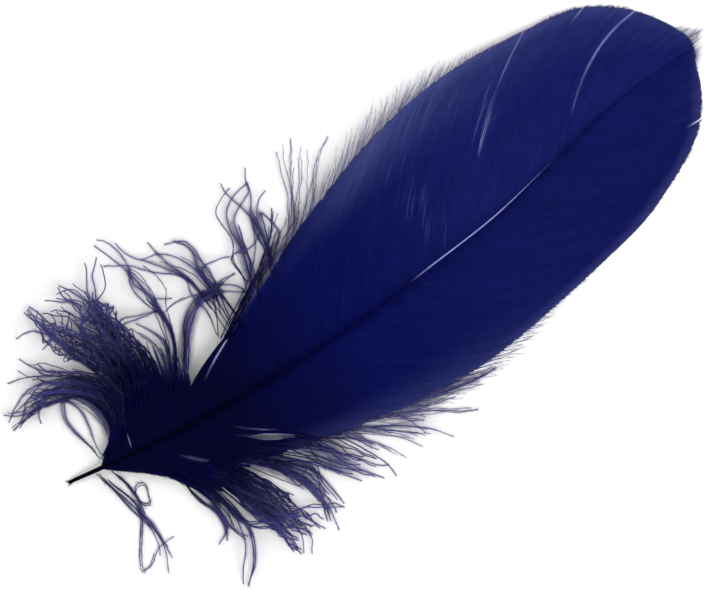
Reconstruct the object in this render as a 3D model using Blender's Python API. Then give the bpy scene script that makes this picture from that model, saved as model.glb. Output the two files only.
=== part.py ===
"""A dyed goose feather lying on a table, convex side up, as one solid."""

import math
import random
from collections import namedtuple

import bmesh
import bpy
import numpy as np

# Lengths below are in millimetres until a mesh is made. X runs along the feather from the cut end
# of the quill, Y to the feather's left as seen from above with the tip ahead, Z up.
MM = 0.001

SHAFT_LENGTH = 149.0
SHAFT_RINGS = 26
SHAFT_SIDES = 8
ARCH_HEIGHT = 4.2           # how far the middle of the shaft stands off the table
LEFT_DROOP = 0.0031         # fall of a vane per square millimetre away from the shaft
RIGHT_DROOP = 0.0098
VANE_THICKNESS = 0.5
DOWN_BED_THICKNESS = 1.3    # the matted down around the lower shaft
DOWN_BED_END = 24.5         # place on the shaft where the firm vane begins
DOWN_BED_COLUMNS = 10
THINNING_START = 14.0       # place on the shaft from which the bed thins to the vane's thickness
THINNING_LENGTH = 20.0
BARB_REACH = 0.36           # share of a barb's span over which it keeps an end's direction
BARB_STEPS = 6
COLUMN_SPACING = 3.4
TIP_COLUMNS = [SHAFT_LENGTH - 3.0, SHAFT_LENGTH]
SLIT_HALF_WIDTH = 0.3
LOCK_SIDES = 4
LOCK_FLATNESS = 0.6
LOCK_THINNEST = 0.17        # half of the least width
LOCK_ROOT_SHARE = 0.45      # width at the root and at the end, as shares of the full width
LOCK_END_SHARE = 0.3
LOCK_ROOTED = 0.4           # share of the lock over which it leaves the sheet
HAIR_SIDES = 3
HAIR_STEPS = 4
SEED = 20

DYED_NAVY = (0.008, 0.011, 0.085, 1.0)

# The shaft's sideways line and its radius, as (x, value)
SHAFT_LINE = [(0, 0), (5, -1.0), (15, -2.9), (34, -5.3), (52, -6.5), (68, -6.9), (84, -6.3),
              (100, -5.5), (115, -3.3), (130, -1.0), (150, -0.5)]
SHAFT_RADIUS = [(0, 0.32), (3, 0.46), (8, 0.62), (30, 0.6), (70, 0.5), (110, 0.34), (149, 0.14)]

# How far the barbs reach. Each row is the barb's root on the shaft, the place of its end (x, y),
# and the angles in degrees at which it leaves the shaft and comes to its end.
LEFT_DOWN_BED = [(6.5, 8.5, 0.6, 43, 43), (8.5, 11.5, 2.0, 52, 52), (10.5, 14.5, 4.6, 60, 60),
                 (12.5, 16.1, 7.4, 69, 69), (14.5, 17.8, 12.5, 78, 78), (16, 18.6, 17, 82, 82),
                 (17.5, 20, 20.5, 84, 84), (19.5, 23, 22.3, 83, 83), (21.5, 26, 18.5, 79, 79),
                 (23.2, 27.8, 11, 73, 73), (DOWN_BED_END, 29, 4, 61, 61)]
LEFT_VANE = [(DOWN_BED_END, 49.5, 8.4, 56, 22), (28, 56.5, 11, 50, 27), (32, 62, 13.3, 48, 30),
             (38, 69.5, 16.1, 48, 30), (46, 79, 19, 50, 29), (56, 89.5, 21.5, 51, 27),
             (66, 99.5, 23.1, 52, 27), (78, 112, 23.4, 53, 27), (93.5, 127, 21.4, 53, 26),
             (104, 136, 19.6, 51, 18), (112, 141.5, 16.8, 50, 10), (120, 147, 11.7, 48, 0),
             (128, 150.3, 6.9, 42, -2), (136, 152.2, 3.2, 34, 0), (143, 152.7, 1.0, 20, 2),
             (149, 152.4, -0.3, 4, 0)]
RIGHT_VANE = [(6.5, 7.6, -2.5, -50, -50), (8.5, 11, -5.4, -54, -54), (10.5, 14, -8, -59, -59),
              (13, 17.2, -11.7, -64, -64), (15.5, 19.3, -15.5, -70, -70), (18, 21.6, -20, -72, -72),
              (20.5, 27, -22, -66, -66), (23, 34, -22, -58, -56), (26, 43, -24, -52, -44),
              (29, 50, -26, -49, -34), (33, 58, -27, -48, -25), (38, 66.5, -27.7, -48, -20),
              (45, 76, -28.4, -48, -18), (52, 84, -28.7, -48, -17), (60, 92.5, -28.2, -48, -17),
              (68, 100.5, -27.3, -48, -17), (80, 112.5, -25.7, -48, -16),
              (92, 124, -23.7, -47, -14), (104, 134.5, -19.9, -46, -8), (112, 140.5, -17, -44, -5),
              (120, 145.5, -12.9, -41, -2), (128, 149.2, -7.7, -34, 0), (136, 150.9, -3.8, -24, 0),
              (143, 151.8, -2.2, -14, 0), (149, 152.2, -0.9, -6, 0)]

# Splits in the vanes: side, root on the shaft, and the first and last barb step that is open
Slit = namedtuple("Slit", "side root first last")
SLITS = [Slit("left", 93.5, 2, 5), Slit("left", 120.3, 1, 5), Slit("right", 20.5, 3, 4)]

# Tufts of down. The locks of a tuft fan out between its first and its last line, which are given
# by the points (x, y) that they pass. lift is how high they rise between root and end, rest is how
# far the ends stay off the table, and start is the height of a root that isn't in the sheet.
Tuft = namedtuple("Tuft", "count first last width lift rest start", defaults=[None])
TUFTS = {
    "left_swept_back": Tuft(6, [(15, 4), (17, 7), (18, 11), (15.5, 15.6), (10.5, 19.5), (5.8, 26)],
                            [(10.5, 0.8), (12.6, 3.4), (13.3, 7.5), (11.5, 12.5), (6, 14.9),
                             (-3.6, 15.2)], 1.5, 3.6, 0.6),
    "left_stray": Tuft(1, [(9, -0.4), (7.6, 1.2), (7.2, 4), (6.3, 8), (6.0, 12.6)], None,
                       0.9, 1.0, 0.0),
    "left_upright": Tuft(7, [(18.2, 16), (15.8, 20), (14, 26), (12.5, 33.2)],
                         [(25, 15), (26.4, 20), (25, 27), (27.4, 33.9)], 2.0, 6.6, 0.0),
    "left_upright_strays": Tuft(2, [(20.6, 16), (16.4, 22.4), (13, 27.8), (10, 29.7), (7.3, 30)],
                                [(23.8, 17), (24.5, 23), (26, 28), (28, 31), (30.5, 34.3)],
                                0.8, 3.0, 0.8),
    "wedge_side": Tuft(4, [(26.4, 9), (30, 12), (33.4, 18), (33.4, 26), (31, 36)],
                       [(27.6, 4.4), (31.5, 8), (34.8, 14), (34.6, 24), (32.3, 36.8)],
                       1.2, 4.0, 0.4),
    "over_the_wedge": Tuft(2, [(27.6, 3.8), (33, 9.4), (38, 13.8), (44, 15.4), (51, 15.2)],
                           [(27.4, 2.2), (33.5, 7.4), (38.5, 12.2), (44, 13.6), (51, 10.4)],
                           0.8, 2.0, 0.4),
    "left_middle": Tuft(5, [(41.8, 3.6), (43.4, 11), (42.6, 19), (38, 24.6), (30.3, 31.6)],
                        [(47, 5), (46.6, 13), (46.9, 20), (46.2, 25.6), (42.8, 28)],
                        1.3, 3.8, 0.4),
    "left_middle_strays": Tuft(2, [(43.6, 4), (43.5, 14), (41.6, 22), (37.4, 29), (34.7, 33.8)],
                               [(45, 4.6), (44.4, 14), (42.2, 22), (41, 27), (40.3, 30.4)],
                               0.8, 3.4, 0.2),
    "left_outer": Tuft(3, [(50, 7), (52, 14), (54, 21), (54.8, 27), (59.8, 29.8)],
                       [(52, 7.4), (54.6, 15), (56.4, 21.4), (59.6, 25.8), (63.6, 28.8)],
                       1.0, 2.0, 0.4),
    "left_outer_pair": Tuft(3, [(57, 9.4), (58.6, 15), (59.4, 20), (59.6, 25), (58.8, 31)],
                            [(58.5, 9.8), (60, 17), (61.6, 21.6), (63.2, 24.2), (65.6, 25.3)],
                            1.0, 1.8, 0.6),
    "left_edge": Tuft(4, [(63, 12.4), (66.5, 17.6), (69.6, 22), (71.6, 26.4), (73.6, 30.8)],
                      [(66.6, 13.6), (70.6, 19), (74.4, 23.6), (77.6, 27), (80.4, 29.4)],
                      1.2, 0.8, 1.2),
    "right_stray": Tuft(1, [(8, -2), (6, -4.4), (6.9, -9), (8.4, -15), (8.3, -20), (7.8, -24.6)],
                        None, 1.0, 0.2, 0.0),
    "right_stray_fork": Tuft(1, [(7.4, -11), (5.2, -16.5), (1.9, -23.2)], None, 0.8, 0.3, 0.0, 0.4),
    "right_stray_back": Tuft(1, [(2.1, -22.7), (6, -21.6), (10.6, -20.8)], None,
                             0.6, 0.0, 0.0, 0.2),
    "right_stray_low": Tuft(1, [(8.4, -17.5), (7.4, -22.6), (5.5, -26.4)], None,
                            0.6, 0.0, 0.0, 0.3),
    "right_stray_inner": Tuft(1, [(10, -3.8), (9, -6.5), (9.1, -10), (7.9, -14.6)], None,
                              0.7, 0.2, 0.0),
    "right_front": Tuft(1, [(20.5, -15), (19.6, -18.5), (20.6, -22), (20.2, -25.6), (17, -27.6)],
                        None, 1.1, 1.2, 0.4),
    "right_curl": Tuft(2, [(21.5, -17.6), (22, -22), (22, -27), (19.8, -32.4), (16.7, -36.6)],
                       [(22.8, -18), (24, -23), (24, -28.6), (21.6, -33.6), (17, -37.9)],
                       1.3, 2.6, 0.0),
    "right_sheaf": Tuft(5, [(24.6, -19), (26.4, -24), (28.6, -30), (29.6, -38.7)],
                        [(30, -19), (33, -26), (34.8, -32), (36.2, -37)], 1.7, 4.4, 0.0),
    "right_sheaf_end": Tuft(1, [(27.4, -19), (30.8, -27), (33, -34.6), (31.5, -40.1)], None,
                            1.0, 3.4, 0.0),
    "right_hanging": Tuft(3, [(36, -19), (37.4, -24), (38.7, -30), (38.4, -39.2)],
                          [(39, -20), (41.4, -25), (42, -30), (42.3, -35.4)], 0.8, 1.4, 0.2),
    "right_outer": Tuft(5, [(38.4, -20), (41.6, -24.6), (44.4, -28.8), (47.8, -33.6)],
                        [(46.5, -22.4), (50, -27), (52.6, -31.6), (54, -36.9)], 1.3, 1.2, 0.0),
    "right_edge": Tuft(6, [(50, -24), (53.6, -28), (56, -31.6), (57.9, -35.2)],
                       [(73.6, -26.6), (76.6, -28.8), (80, -30.2), (83.6, -30.6)], 1.0, 0.3, 0.0),
    "right_edge_strays": Tuft(2, [(58.6, -25), (63, -29.4), (66.4, -33.4), (68, -37.2)],
                              [(64.6, -25.6), (69, -30), (72.2, -33), (75.4, -35.3)],
                              0.6, 0.6, 0.0),
}

# Single hairs that stand out from the closed edges: (root), (end)
EDGE_HAIRS = [((75, 16.6), (84.6, 27.4)), ((80, 18), (88.6, 26)), ((86, 19.4), (93.6, 25)),
              ((92, 20.8), (99.6, 25)), ((99, 21.6), (106.4, 24.6)),
              ((149, 2.2), (154.6, 3.3)), ((149.5, 1), (155.6, 1.5)), ((149.6, -1.0), (154.2, -0.2)),
              ((148.6, -3.2), (153.6, -2.7))]
HAIR_WIDTH = 0.45


def smooth(knots, x):
    """Value at x of a smooth curve through the knots (x, value, ...), one or more values each."""
    table = np.array(knots, dtype=float)
    at, values = table[:, 0], table[:, 1:]
    slopes = np.gradient(values, at, axis=0)
    x = np.clip(np.asarray(x, dtype=float), at[0], at[-1])
    i = np.clip(np.searchsorted(at, x, side="right") - 1, 0, len(at) - 2)
    span = (at[i + 1] - at[i])[..., None]
    f = (x - at[i])[..., None] / span
    value = ((2 * f**3 - 3 * f**2 + 1) * values[i] + (f**3 - 2 * f**2 + f) * span * slopes[i]
             + (3 * f**2 - 2 * f**3) * values[i + 1] + (f**3 - f**2) * span * slopes[i + 1])
    return value[..., 0] if values.shape[1] == 1 else value


def smooth_path(points, count):
    """count places, evenly spread, on a smooth line through the points."""
    points = np.array(points, dtype=float)
    steps = np.linalg.norm(np.diff(points, axis=0), axis=1)
    travelled = np.concatenate([[0.0], np.cumsum(steps)]) / steps.sum()
    return smooth(np.column_stack([travelled, points]), np.linspace(0.0, 1.0, count))


def shaft_height(x):
    """Height of the shaft's centre line: it touches the table at both ends."""
    along = np.clip(np.asarray(x, dtype=float) / (SHAFT_LENGTH + 1.0), 0.0, 1.0)
    return smooth(SHAFT_RADIUS, x) + ARCH_HEIGHT * np.sin(math.pi * along) ** 0.9


def sheet_height(x, y):
    """Height of the middle of the vane, which falls away from the shaft on both sides."""
    away = y - smooth(SHAFT_LINE, x)
    return shaft_height(x) - np.where(away > 0, LEFT_DROOP, RIGHT_DROOP) * away**2


def sheet_thickness(root):
    """Thickness of the matted down at the quill end, thinning to that of the vane."""
    firm = np.clip((root - THINNING_START) / THINNING_LENGTH, 0.0, 1.0)
    return DOWN_BED_THICKNESS + (VANE_THICKNESS - DOWN_BED_THICKNESS) * firm


def barb_line(root, reach):
    """Places along one barb, from the shaft to its end, as a curve with its own end angles."""
    end_x, end_y, leaving, arriving = smooth(reach, root)
    start = np.array([root, smooth(SHAFT_LINE, root)])
    end = np.array([end_x, end_y])
    lead = BARB_REACH * np.linalg.norm(end - start)
    leave = start + lead * np.array([math.cos(math.radians(leaving)), math.sin(math.radians(leaving))])
    arrive = end - lead * np.array([math.cos(math.radians(arriving)), math.sin(math.radians(arriving))])
    f = np.linspace(0.0, 1.0, BARB_STEPS + 1)[:, None]
    return ((1 - f) ** 3 * start + 3 * f * (1 - f) ** 2 * leave + 3 * f**2 * (1 - f) * arrive
            + f**3 * end)


def column_roots():
    """Roots on the shaft of the barbs that carry the sheet, with a close pair at each split."""
    bed = list(np.linspace(LEFT_DOWN_BED[0][0], DOWN_BED_END, DOWN_BED_COLUMNS))
    firm = list(np.arange(DOWN_BED_END + 2 * SLIT_HALF_WIDTH, TIP_COLUMNS[0] - 1.0, COLUMN_SPACING))
    roots = [(r, LEFT_DOWN_BED) for r in bed]
    roots += [(r, LEFT_VANE) for r in firm + TIP_COLUMNS]
    for slit in SLITS:
        table = LEFT_DOWN_BED if slit.root < DOWN_BED_END else LEFT_VANE
        nearest = min(range(len(roots)), key=lambda i: abs(roots[i][0] - slit.root))
        roots[nearest:nearest + 1] = [(slit.root - SLIT_HALF_WIDTH, table),
                                      (slit.root + SLIT_HALF_WIDTH, table)]
    return roots


def open_steps(root, following, side):
    """Barb steps left open between two neighbouring barbs: a split, or the gap above the bed."""
    if side == "left" and root == DOWN_BED_END:
        return range(2, BARB_STEPS)
    for slit in SLITS:
        if slit.side == side and root < slit.root < following:
            return range(slit.first, slit.last)
    return range(0)


def sheet_mesh():
    """Both vanes and the matted down as one sheet: a grid of barbs by steps, given a thickness."""
    roots = column_roots()
    rows = 2 * BARB_STEPS + 1
    xy, thickness = [], []
    for root, left_reach in roots:
        left = barb_line(root, left_reach)
        right = barb_line(root, RIGHT_VANE)
        xy.append(np.concatenate([left[::-1], right[1:]]))
        thickness.append(np.full(rows, sheet_thickness(root)))
    xy, thickness = np.array(xy), np.array(thickness)
    low = np.maximum(sheet_height(xy[..., 0], xy[..., 1]) - thickness / 2, 0.0)
    bottom = np.dstack([xy, low])
    top = np.dstack([xy, low + thickness])

    sheet = bmesh.new()
    upper = [[sheet.verts.new(p * MM) for p in line] for line in top]
    lower = [[sheet.verts.new(p * MM) for p in line] for line in bottom]
    for c in range(len(roots) - 1):
        here, following = roots[c][0], roots[c + 1][0]
        left_open = {BARB_STEPS - 1 - k for k in open_steps(here, following, "left")}
        right_open = {BARB_STEPS + k for k in open_steps(here, following, "right")}
        for r in range(rows - 1):
            if r in left_open or r in right_open:
                continue
            sheet.faces.new([upper[c][r], upper[c][r + 1], upper[c + 1][r + 1], upper[c + 1][r]])
            sheet.faces.new([lower[c][r], lower[c + 1][r], lower[c + 1][r + 1], lower[c][r + 1]])
    partner = {a: b for line_a, line_b in zip(upper, lower) for a, b in zip(line_a, line_b)}
    for edge in [e for e in sheet.edges if e.is_boundary and e.verts[0] in partner]:
        a, b = (loop.vert for loop in (edge.link_loops[0], edge.link_loops[0].link_loop_next))
        sheet.faces.new([b, a, partner[a], partner[b]])
    bmesh.ops.delete(sheet, geom=[v for v in sheet.verts if not v.link_faces], context="VERTS")
    return finish_mesh(sheet, "sheet")


def tube_mesh(name, centres, half_width, half_thickness, sides):
    """A closed tube of oval section along the centres; its width lies level."""
    centres = np.asarray(centres, dtype=float)
    ahead = np.gradient(centres, axis=0)
    ahead /= np.linalg.norm(ahead, axis=1)[:, None]
    across = np.cross([0.0, 0.0, 1.0], ahead)
    across /= np.linalg.norm(across, axis=1)[:, None]
    above = np.cross(ahead, across)
    turn = 2 * math.pi * np.arange(sides) / sides
    tube = bmesh.new()
    rings = []
    for i, centre in enumerate(centres):
        ring = (centre + np.cos(turn)[:, None] * half_width[i] * across[i]
                + np.sin(turn)[:, None] * half_thickness[i] * above[i])
        rings.append([tube.verts.new(p * MM) for p in ring])
    for ring, following in zip(rings, rings[1:]):
        for k in range(sides):
            n = (k + 1) % sides
            tube.faces.new([ring[k], ring[n], following[n], following[k]])
    tube.faces.new(rings[0][::-1])
    tube.faces.new(rings[-1])
    return finish_mesh(tube, name)


def finish_mesh(shape, name):
    """Turns the faces outwards and stores the shape as a smooth-shaded mesh."""
    bmesh.ops.recalc_face_normals(shape, faces=shape.faces)
    mesh = bpy.data.meshes.new(name)
    shape.to_mesh(mesh)
    shape.free()
    mesh.shade_smooth()
    return mesh


def shaft_mesh():
    """The bare quill and the shaft, tapering from the down to the tip of the vane."""
    x = np.linspace(0.0, 1.0, SHAFT_RINGS) ** 1.15 * SHAFT_LENGTH
    radius = smooth(SHAFT_RADIUS, x)
    centres = np.column_stack([x, smooth(SHAFT_LINE, x), shaft_height(x)])
    return tube_mesh("shaft", centres, radius, radius, SHAFT_SIDES)


def lock_mesh(name, path, tuft, chance):
    """One lock of down: it starts inside the sheet, rises, and comes down towards its end."""
    f = np.linspace(0.0, 1.0, len(path))
    swell = np.sin(math.pi * np.minimum(f * 1.6, 1.0)) ** 0.8
    width = tuft.width * (LOCK_ROOT_SHARE + (1 - LOCK_ROOT_SHARE) * swell)
    taper = np.interp(f, [0, 0.45, 1], [1, 1, LOCK_END_SHARE])
    width = np.where(f < 0.3, width, tuft.width) * taper
    half_width = np.maximum(width / 2, LOCK_THINNEST)
    half_thickness = half_width * LOCK_FLATNESS
    rooted = np.clip(1 - f / LOCK_ROOTED, 0.0, 1.0) ** 1.5
    root = sheet_height(*path[0]) if tuft.start is None else tuft.start
    free = tuft.lift * chance * np.sin(math.pi * f) + tuft.rest * f
    height = rooted * root + (1 - rooted) * (half_thickness + free)
    height = np.maximum(height, half_thickness)
    centres = np.column_stack([path, height])
    return tube_mesh(name, centres, half_width, half_thickness, LOCK_SIDES)


def tuft_meshes(name, tuft, rng):
    """The locks of one tuft, fanned out between its first and last line."""
    steps = 2 * len(tuft.first) - 2 if len(tuft.first) > 3 else 4
    first = smooth_path(tuft.first, steps)
    last = smooth_path(tuft.last or tuft.first, steps)
    for i in range(tuft.count):
        share = i / max(tuft.count - 1, 1)
        path = first * (1 - share) + last * share
        inner = 0 < i < tuft.count - 1
        if inner:
            path = smooth(np.column_stack([np.linspace(0, 1, steps), path]),
                          np.linspace(0, rng.uniform(0.84, 1.0), steps))
        yield lock_mesh(f"{name}_{i + 1}", path, tuft, rng.uniform(0.6, 1.0) if inner else 1.0)


def hair_mesh(name, root, end):
    """A single stiff hair at the edge of a vane, lying in the vane's own surface."""
    path = smooth_path([root, end], HAIR_STEPS)
    height = np.maximum(sheet_height(path[:, 0], path[:, 1]), HAIR_WIDTH / 2)
    half = HAIR_WIDTH / 2 * np.array([1.0, 1.0, 0.8, 0.5])
    return tube_mesh(name, np.column_stack([path, height]), half, half * LOCK_FLATNESS, HAIR_SIDES)


def feather_material():
    """Deep navy dye on soft, slightly glossy barbs."""
    material = bpy.data.materials.new("dyed_feather")
    material.use_nodes = True
    shader = material.node_tree.nodes["Principled BSDF"]
    shader.inputs["Base Color"].default_value = DYED_NAVY
    shader.inputs["Roughness"].default_value = 0.55
    shader.inputs["Metallic"].default_value = 0.0
    return material


def build():
    """Models the feather: the sheet, joined with the shaft, the locks and the hairs."""
    for leftover in list(bpy.data.objects):
        bpy.data.objects.remove(leftover, do_unlink=True)
    rng = random.Random(SEED)
    grown = [shaft_mesh()]
    for name, tuft in TUFTS.items():
        grown += tuft_meshes(name, tuft, rng)
    grown += [hair_mesh(f"edge_hair_{i + 1}", *hair) for i, hair in enumerate(EDGE_HAIRS)]
    sheet = sheet_mesh()

    corners = np.array([v.co for mesh in [sheet] + grown for v in mesh.vertices])
    low, high = corners.min(axis=0), corners.max(axis=0)
    origin = bpy.data.objects.new("feather_origin", None)
    origin.location = (-(low[0] + high[0]) / 2, -(low[1] + high[1]) / 2, -low[2])
    bpy.context.scene.collection.objects.link(origin)

    feather = bpy.data.objects.new("feather", sheet)
    feather.data.materials.append(feather_material())
    feather.parent = origin
    bpy.context.scene.collection.objects.link(feather)
    growth = bpy.data.collections.new("growth")
    bpy.context.scene.collection.children.link(growth)
    for mesh in grown:
        piece = bpy.data.objects.new(mesh.name, mesh)
        piece.parent = origin
        piece.hide_render = True
        piece.display_type = "WIRE"
        growth.objects.link(piece)
    join = feather.modifiers.new("grown_together", "BOOLEAN")
    join.operation = "UNION"
    join.operand_type = "COLLECTION"
    join.collection = growth


build()
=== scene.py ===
"""A dyed goose feather lying on a pale table: quill and shaft, barbed vanes, fringes and down."""

import logging
import math
from dataclasses import dataclass, field
from enum import Enum

import bpy
import numpy as np
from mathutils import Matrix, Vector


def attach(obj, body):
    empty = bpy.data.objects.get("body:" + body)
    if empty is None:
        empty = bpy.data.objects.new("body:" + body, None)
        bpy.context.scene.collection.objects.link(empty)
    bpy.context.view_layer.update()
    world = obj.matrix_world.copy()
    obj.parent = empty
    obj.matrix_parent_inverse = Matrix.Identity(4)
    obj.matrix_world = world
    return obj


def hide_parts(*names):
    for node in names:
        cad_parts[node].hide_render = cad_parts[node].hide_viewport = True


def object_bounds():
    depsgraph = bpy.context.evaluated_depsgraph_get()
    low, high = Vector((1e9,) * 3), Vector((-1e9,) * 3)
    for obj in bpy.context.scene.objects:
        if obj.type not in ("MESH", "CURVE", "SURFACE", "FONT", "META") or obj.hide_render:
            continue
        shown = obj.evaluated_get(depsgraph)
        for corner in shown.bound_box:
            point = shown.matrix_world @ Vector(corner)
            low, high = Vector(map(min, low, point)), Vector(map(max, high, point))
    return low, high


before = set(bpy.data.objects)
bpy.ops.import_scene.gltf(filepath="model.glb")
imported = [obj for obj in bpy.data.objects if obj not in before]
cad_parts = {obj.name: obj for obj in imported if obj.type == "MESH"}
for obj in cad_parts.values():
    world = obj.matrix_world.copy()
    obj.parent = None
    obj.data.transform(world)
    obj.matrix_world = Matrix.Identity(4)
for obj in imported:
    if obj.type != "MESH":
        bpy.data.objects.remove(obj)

Array = np.ndarray
Values = Array | float
Knots = tuple[tuple[float, ...], ...]
Point = tuple[float, float]
Line = tuple[Point, ...]
Range = tuple[float, float]
Colour = tuple[float, float, float]

LOG = logging.getLogger("feather")

# Lengths are in millimetres until a mesh is stored. X runs along the feather from the cut end of
# the quill, Y to the feather's left as seen from above with the tip ahead, Z up from the table.
MM = 0.001
CAD_LOW, CAD_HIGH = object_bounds()
QUILL_FROM_CORNER: Point = (3.65, 40.148)   # the quill's end, from the low corner of the CAD box
QUILL_END = np.array([CAD_LOW.x / MM + QUILL_FROM_CORNER[0],
                      CAD_LOW.y / MM + QUILL_FROM_CORNER[1], 0.0])
CEILING = 7.4               # nothing stands higher off the table
ANY_PHASE: Range = (0.0, 6.28)
TINY = 1e-9                 # keeps a length that is divided by off zero
BODY = "root"
CAD_NODE = "feather"
BAKE_MAP = "OFBake"

NEAR_BLACK_DYE: Colour = (0.0008, 0.0005, 0.016)
DEEP_DYE: Colour = (0.0018, 0.0032, 0.062)
FULL_DYE: Colour = (0.0058, 0.0092, 0.092)
# Painted shade: the right vane's full dye is darker than the left's, on the side that the key light
# falls on more.
FULL_DYE_RIGHT_PAINTED_SHADE: Colour = (0.0040, 0.0060, 0.075)
# Colour of thin barbs; along the vanes' margin it also carries painted sheen and painted light.
THIN_DYE_AND_PAINTED_LIGHT: Colour = (0.050, 0.062, 0.200)
# Painted light: the pale colour of barbs beside splits and along pale dashes, and of the shaft's
# highlight band.
PALE_PAINTED_LIGHT: Colour = (0.25, 0.26, 0.58)
BLUE_SHEEN: Colour = (0.25, 0.32, 1.0)
DOWN_DEEP: Colour = (0.0022, 0.0015, 0.040)
DOWN_TIP: Colour = (0.058, 0.049, 0.205)
BARBULE_HAZE: Colour = (0.33, 0.32, 0.52)
WHITE: Colour = (1.0, 1.0, 1.0)


def smooth(knots: Knots | Array, x: Values) -> Array:
    """Value at x of a smooth curve through the knots.

    Between two knots the curve is the cubic that has both their values and both their slopes,
    where a knot's slope is the mean rise around it.

    Args:
        knots: Rows of x followed by one or more values.
        x: Places at which the curve is read; outside the knots the end value holds.

    Returns:
        An array shaped like x, with one more axis where a knot has several values.
    """
    table = np.array(knots, dtype=float)
    at, values = table[:, 0], table[:, 1:]
    slopes = np.gradient(values, at, axis=0)
    x = np.clip(np.asarray(x, dtype=float), at[0], at[-1])
    i = np.clip(np.searchsorted(at, x, side="right") - 1, 0, len(at) - 2)
    span = (at[i + 1] - at[i])[..., None]
    f = (x - at[i])[..., None] / span
    value = ((2 * f**3 - 3 * f**2 + 1) * values[i] + (f**3 - 2 * f**2 + f) * span * slopes[i]
             + (3 * f**2 - 2 * f**3) * values[i + 1] + (f**3 - f**2) * span * slopes[i + 1])
    return value[..., 0] if values.shape[1] == 1 else value


def along_line(points: Line | Array, shares: Array) -> Array:
    """Places on a smooth line through the points, at shares of its length.

    Args:
        points: The points (x, y) that the line passes.
        shares: Shares from 0, the first point, to 1, the last.

    Returns:
        An array of (x, y), shaped like shares with one more axis.
    """
    points = np.array(points, dtype=float)
    steps = np.linalg.norm(np.diff(points, axis=0), axis=1)
    passed = np.concatenate([[0.0], np.cumsum(steps)]) / steps.sum()
    return smooth(np.column_stack([passed, points]), shares)


def eased(x: Values, low: float, high: float) -> Array:
    """0 below low, 1 above high, and a smooth S between them: 3 t squared less 2 t cubed."""
    t = np.clip((np.asarray(x, dtype=float) - low) / (high - low), 0.0, 1.0)
    return t * t * (3.0 - 2.0 * t)


def unit(vectors: Array) -> Array:
    """The vectors scaled to length 1 along the last axis."""
    return vectors / np.maximum(np.linalg.norm(vectors, axis=-1, keepdims=True), TINY)


def headings(paths: Array) -> Array:
    """Unit vectors ahead along each path."""
    return unit(np.gradient(paths, axis=1))


def squared(vectors: Array, ahead: Array) -> Array:
    """The vectors less the part of them that points ahead."""
    return vectors - (vectors * ahead).sum(-1, keepdims=True) * ahead


def travelled(paths: Array) -> Array:
    """The distance from the start of each path to each of its stations."""
    return np.linalg.norm(np.diff(paths, axis=1, prepend=paths[:, :1]), axis=2).cumsum(1)


def raised(plan: Array, z: Array) -> Array:
    """The places (x, y) of a plan with their heights."""
    return np.concatenate([plan, z[..., None]], axis=-1)


def level_across(centres: Array) -> Array:
    """Level unit vectors across each path: the upright crossed with the way ahead."""
    ahead = np.gradient(centres, axis=1)
    return unit(np.stack([-ahead[..., 1], ahead[..., 0], np.zeros(ahead.shape[:2])], axis=-1))


def spread(shape: tuple[int, ...], **values: Values) -> dict[str, Array]:
    """Marks at every station of every strip, from values that may hold for a whole strip or all."""
    return {name: np.broadcast_to(value, shape) for name, value in values.items()}


@dataclass(frozen=True)
class Growth:
    """The lines that the whole feather grows on."""

    shaft_line: Knots = ((0, 0), (5, -1.0), (15, -2.9), (34, -5.3), (52, -6.5), (68, -6.9),
                         (84, -6.3), (100, -5.5), (115, -3.3), (130, -1.0), (150, -0.5))
    solid_radius: Knots = ((0, 0.32), (3, 0.46), (8, 0.62), (30, 0.6), (70, 0.5), (110, 0.34),
                           (149, 0.14))
    length: float = 149.0
    arch: float = 4.2
    arch_span: float = 150.0
    arch_fullness: float = 0.9  # below 1, the arch is fuller than a sine
    left_droop: float = 0.0031
    right_droop: float = 0.0098
    barb_lead: float = 0.36

    def middle(self, x: Values) -> Array:
        """Sideways place of the shaft at x."""
        return smooth(self.shaft_line, x)

    def shaft_height(self, x: Values) -> Array:
        """Height of the shaft's centre: its radius and a sine arch that touches down at both ends."""
        along = np.clip(np.asarray(x, dtype=float) / self.arch_span, 0.0, 1.0)
        return (smooth(self.solid_radius, x)
                + self.arch * np.sin(math.pi * along) ** self.arch_fullness)

    def sheet_height(self, plan: Array) -> Array:
        """Height of the vanes: the shaft's, less a droop that grows as the square of the distance.

        Args:
            plan: Places (x, y) along the last axis.

        Returns:
            The height at each place.
        """
        x, y = plan[..., 0], plan[..., 1]
        away = y - self.middle(x)
        droop = np.where(away > 0, self.left_droop, self.right_droop)
        return self.shaft_height(x) - droop * away**2

    def barbs(self, roots: Array, reach: Knots, shares: Array) -> Array:
        """Places (x, y) along barbs: cubic Bezier curves with their own end angles.

        Args:
            roots: Places on the shaft, one for each barb.
            reach: Rows of root, end x, end y, leaving and arriving angle in degrees.
            shares: Curve shares of each barb, one row for each barb or one row for all.

        Returns:
            An array of barbs by stations by (x, y).
        """
        rows = smooth(reach, roots)
        start = np.stack([roots, self.middle(roots)], axis=-1)
        end = rows[:, :2]
        lead = self.barb_lead * np.linalg.norm(end - start, axis=1)[:, None]
        turn = np.radians(rows[:, 2:])
        leave = start + lead * np.stack([np.cos(turn[:, 0]), np.sin(turn[:, 0])], axis=-1)
        arrive = end - lead * np.stack([np.cos(turn[:, 1]), np.sin(turn[:, 1])], axis=-1)
        f = np.broadcast_to(shares, (len(roots), np.shape(shares)[-1]))[..., None]
        return ((1 - f) ** 3 * start[:, None] + 3 * f * (1 - f) ** 2 * leave[:, None]
                + 3 * f**2 * (1 - f) * arrive[:, None] + f**3 * end[:, None])


GROWTH = Growth()


class Section(Enum):
    """The section of a strip: the angles, in degrees, at which its corners stand around it."""

    BARB = (0.0, 90.0, 180.0, 270.0)
    STRAND = (90.0, 210.0, 330.0)
    ROUND = tuple(22.5 + 45.0 * k for k in range(8))


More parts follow.
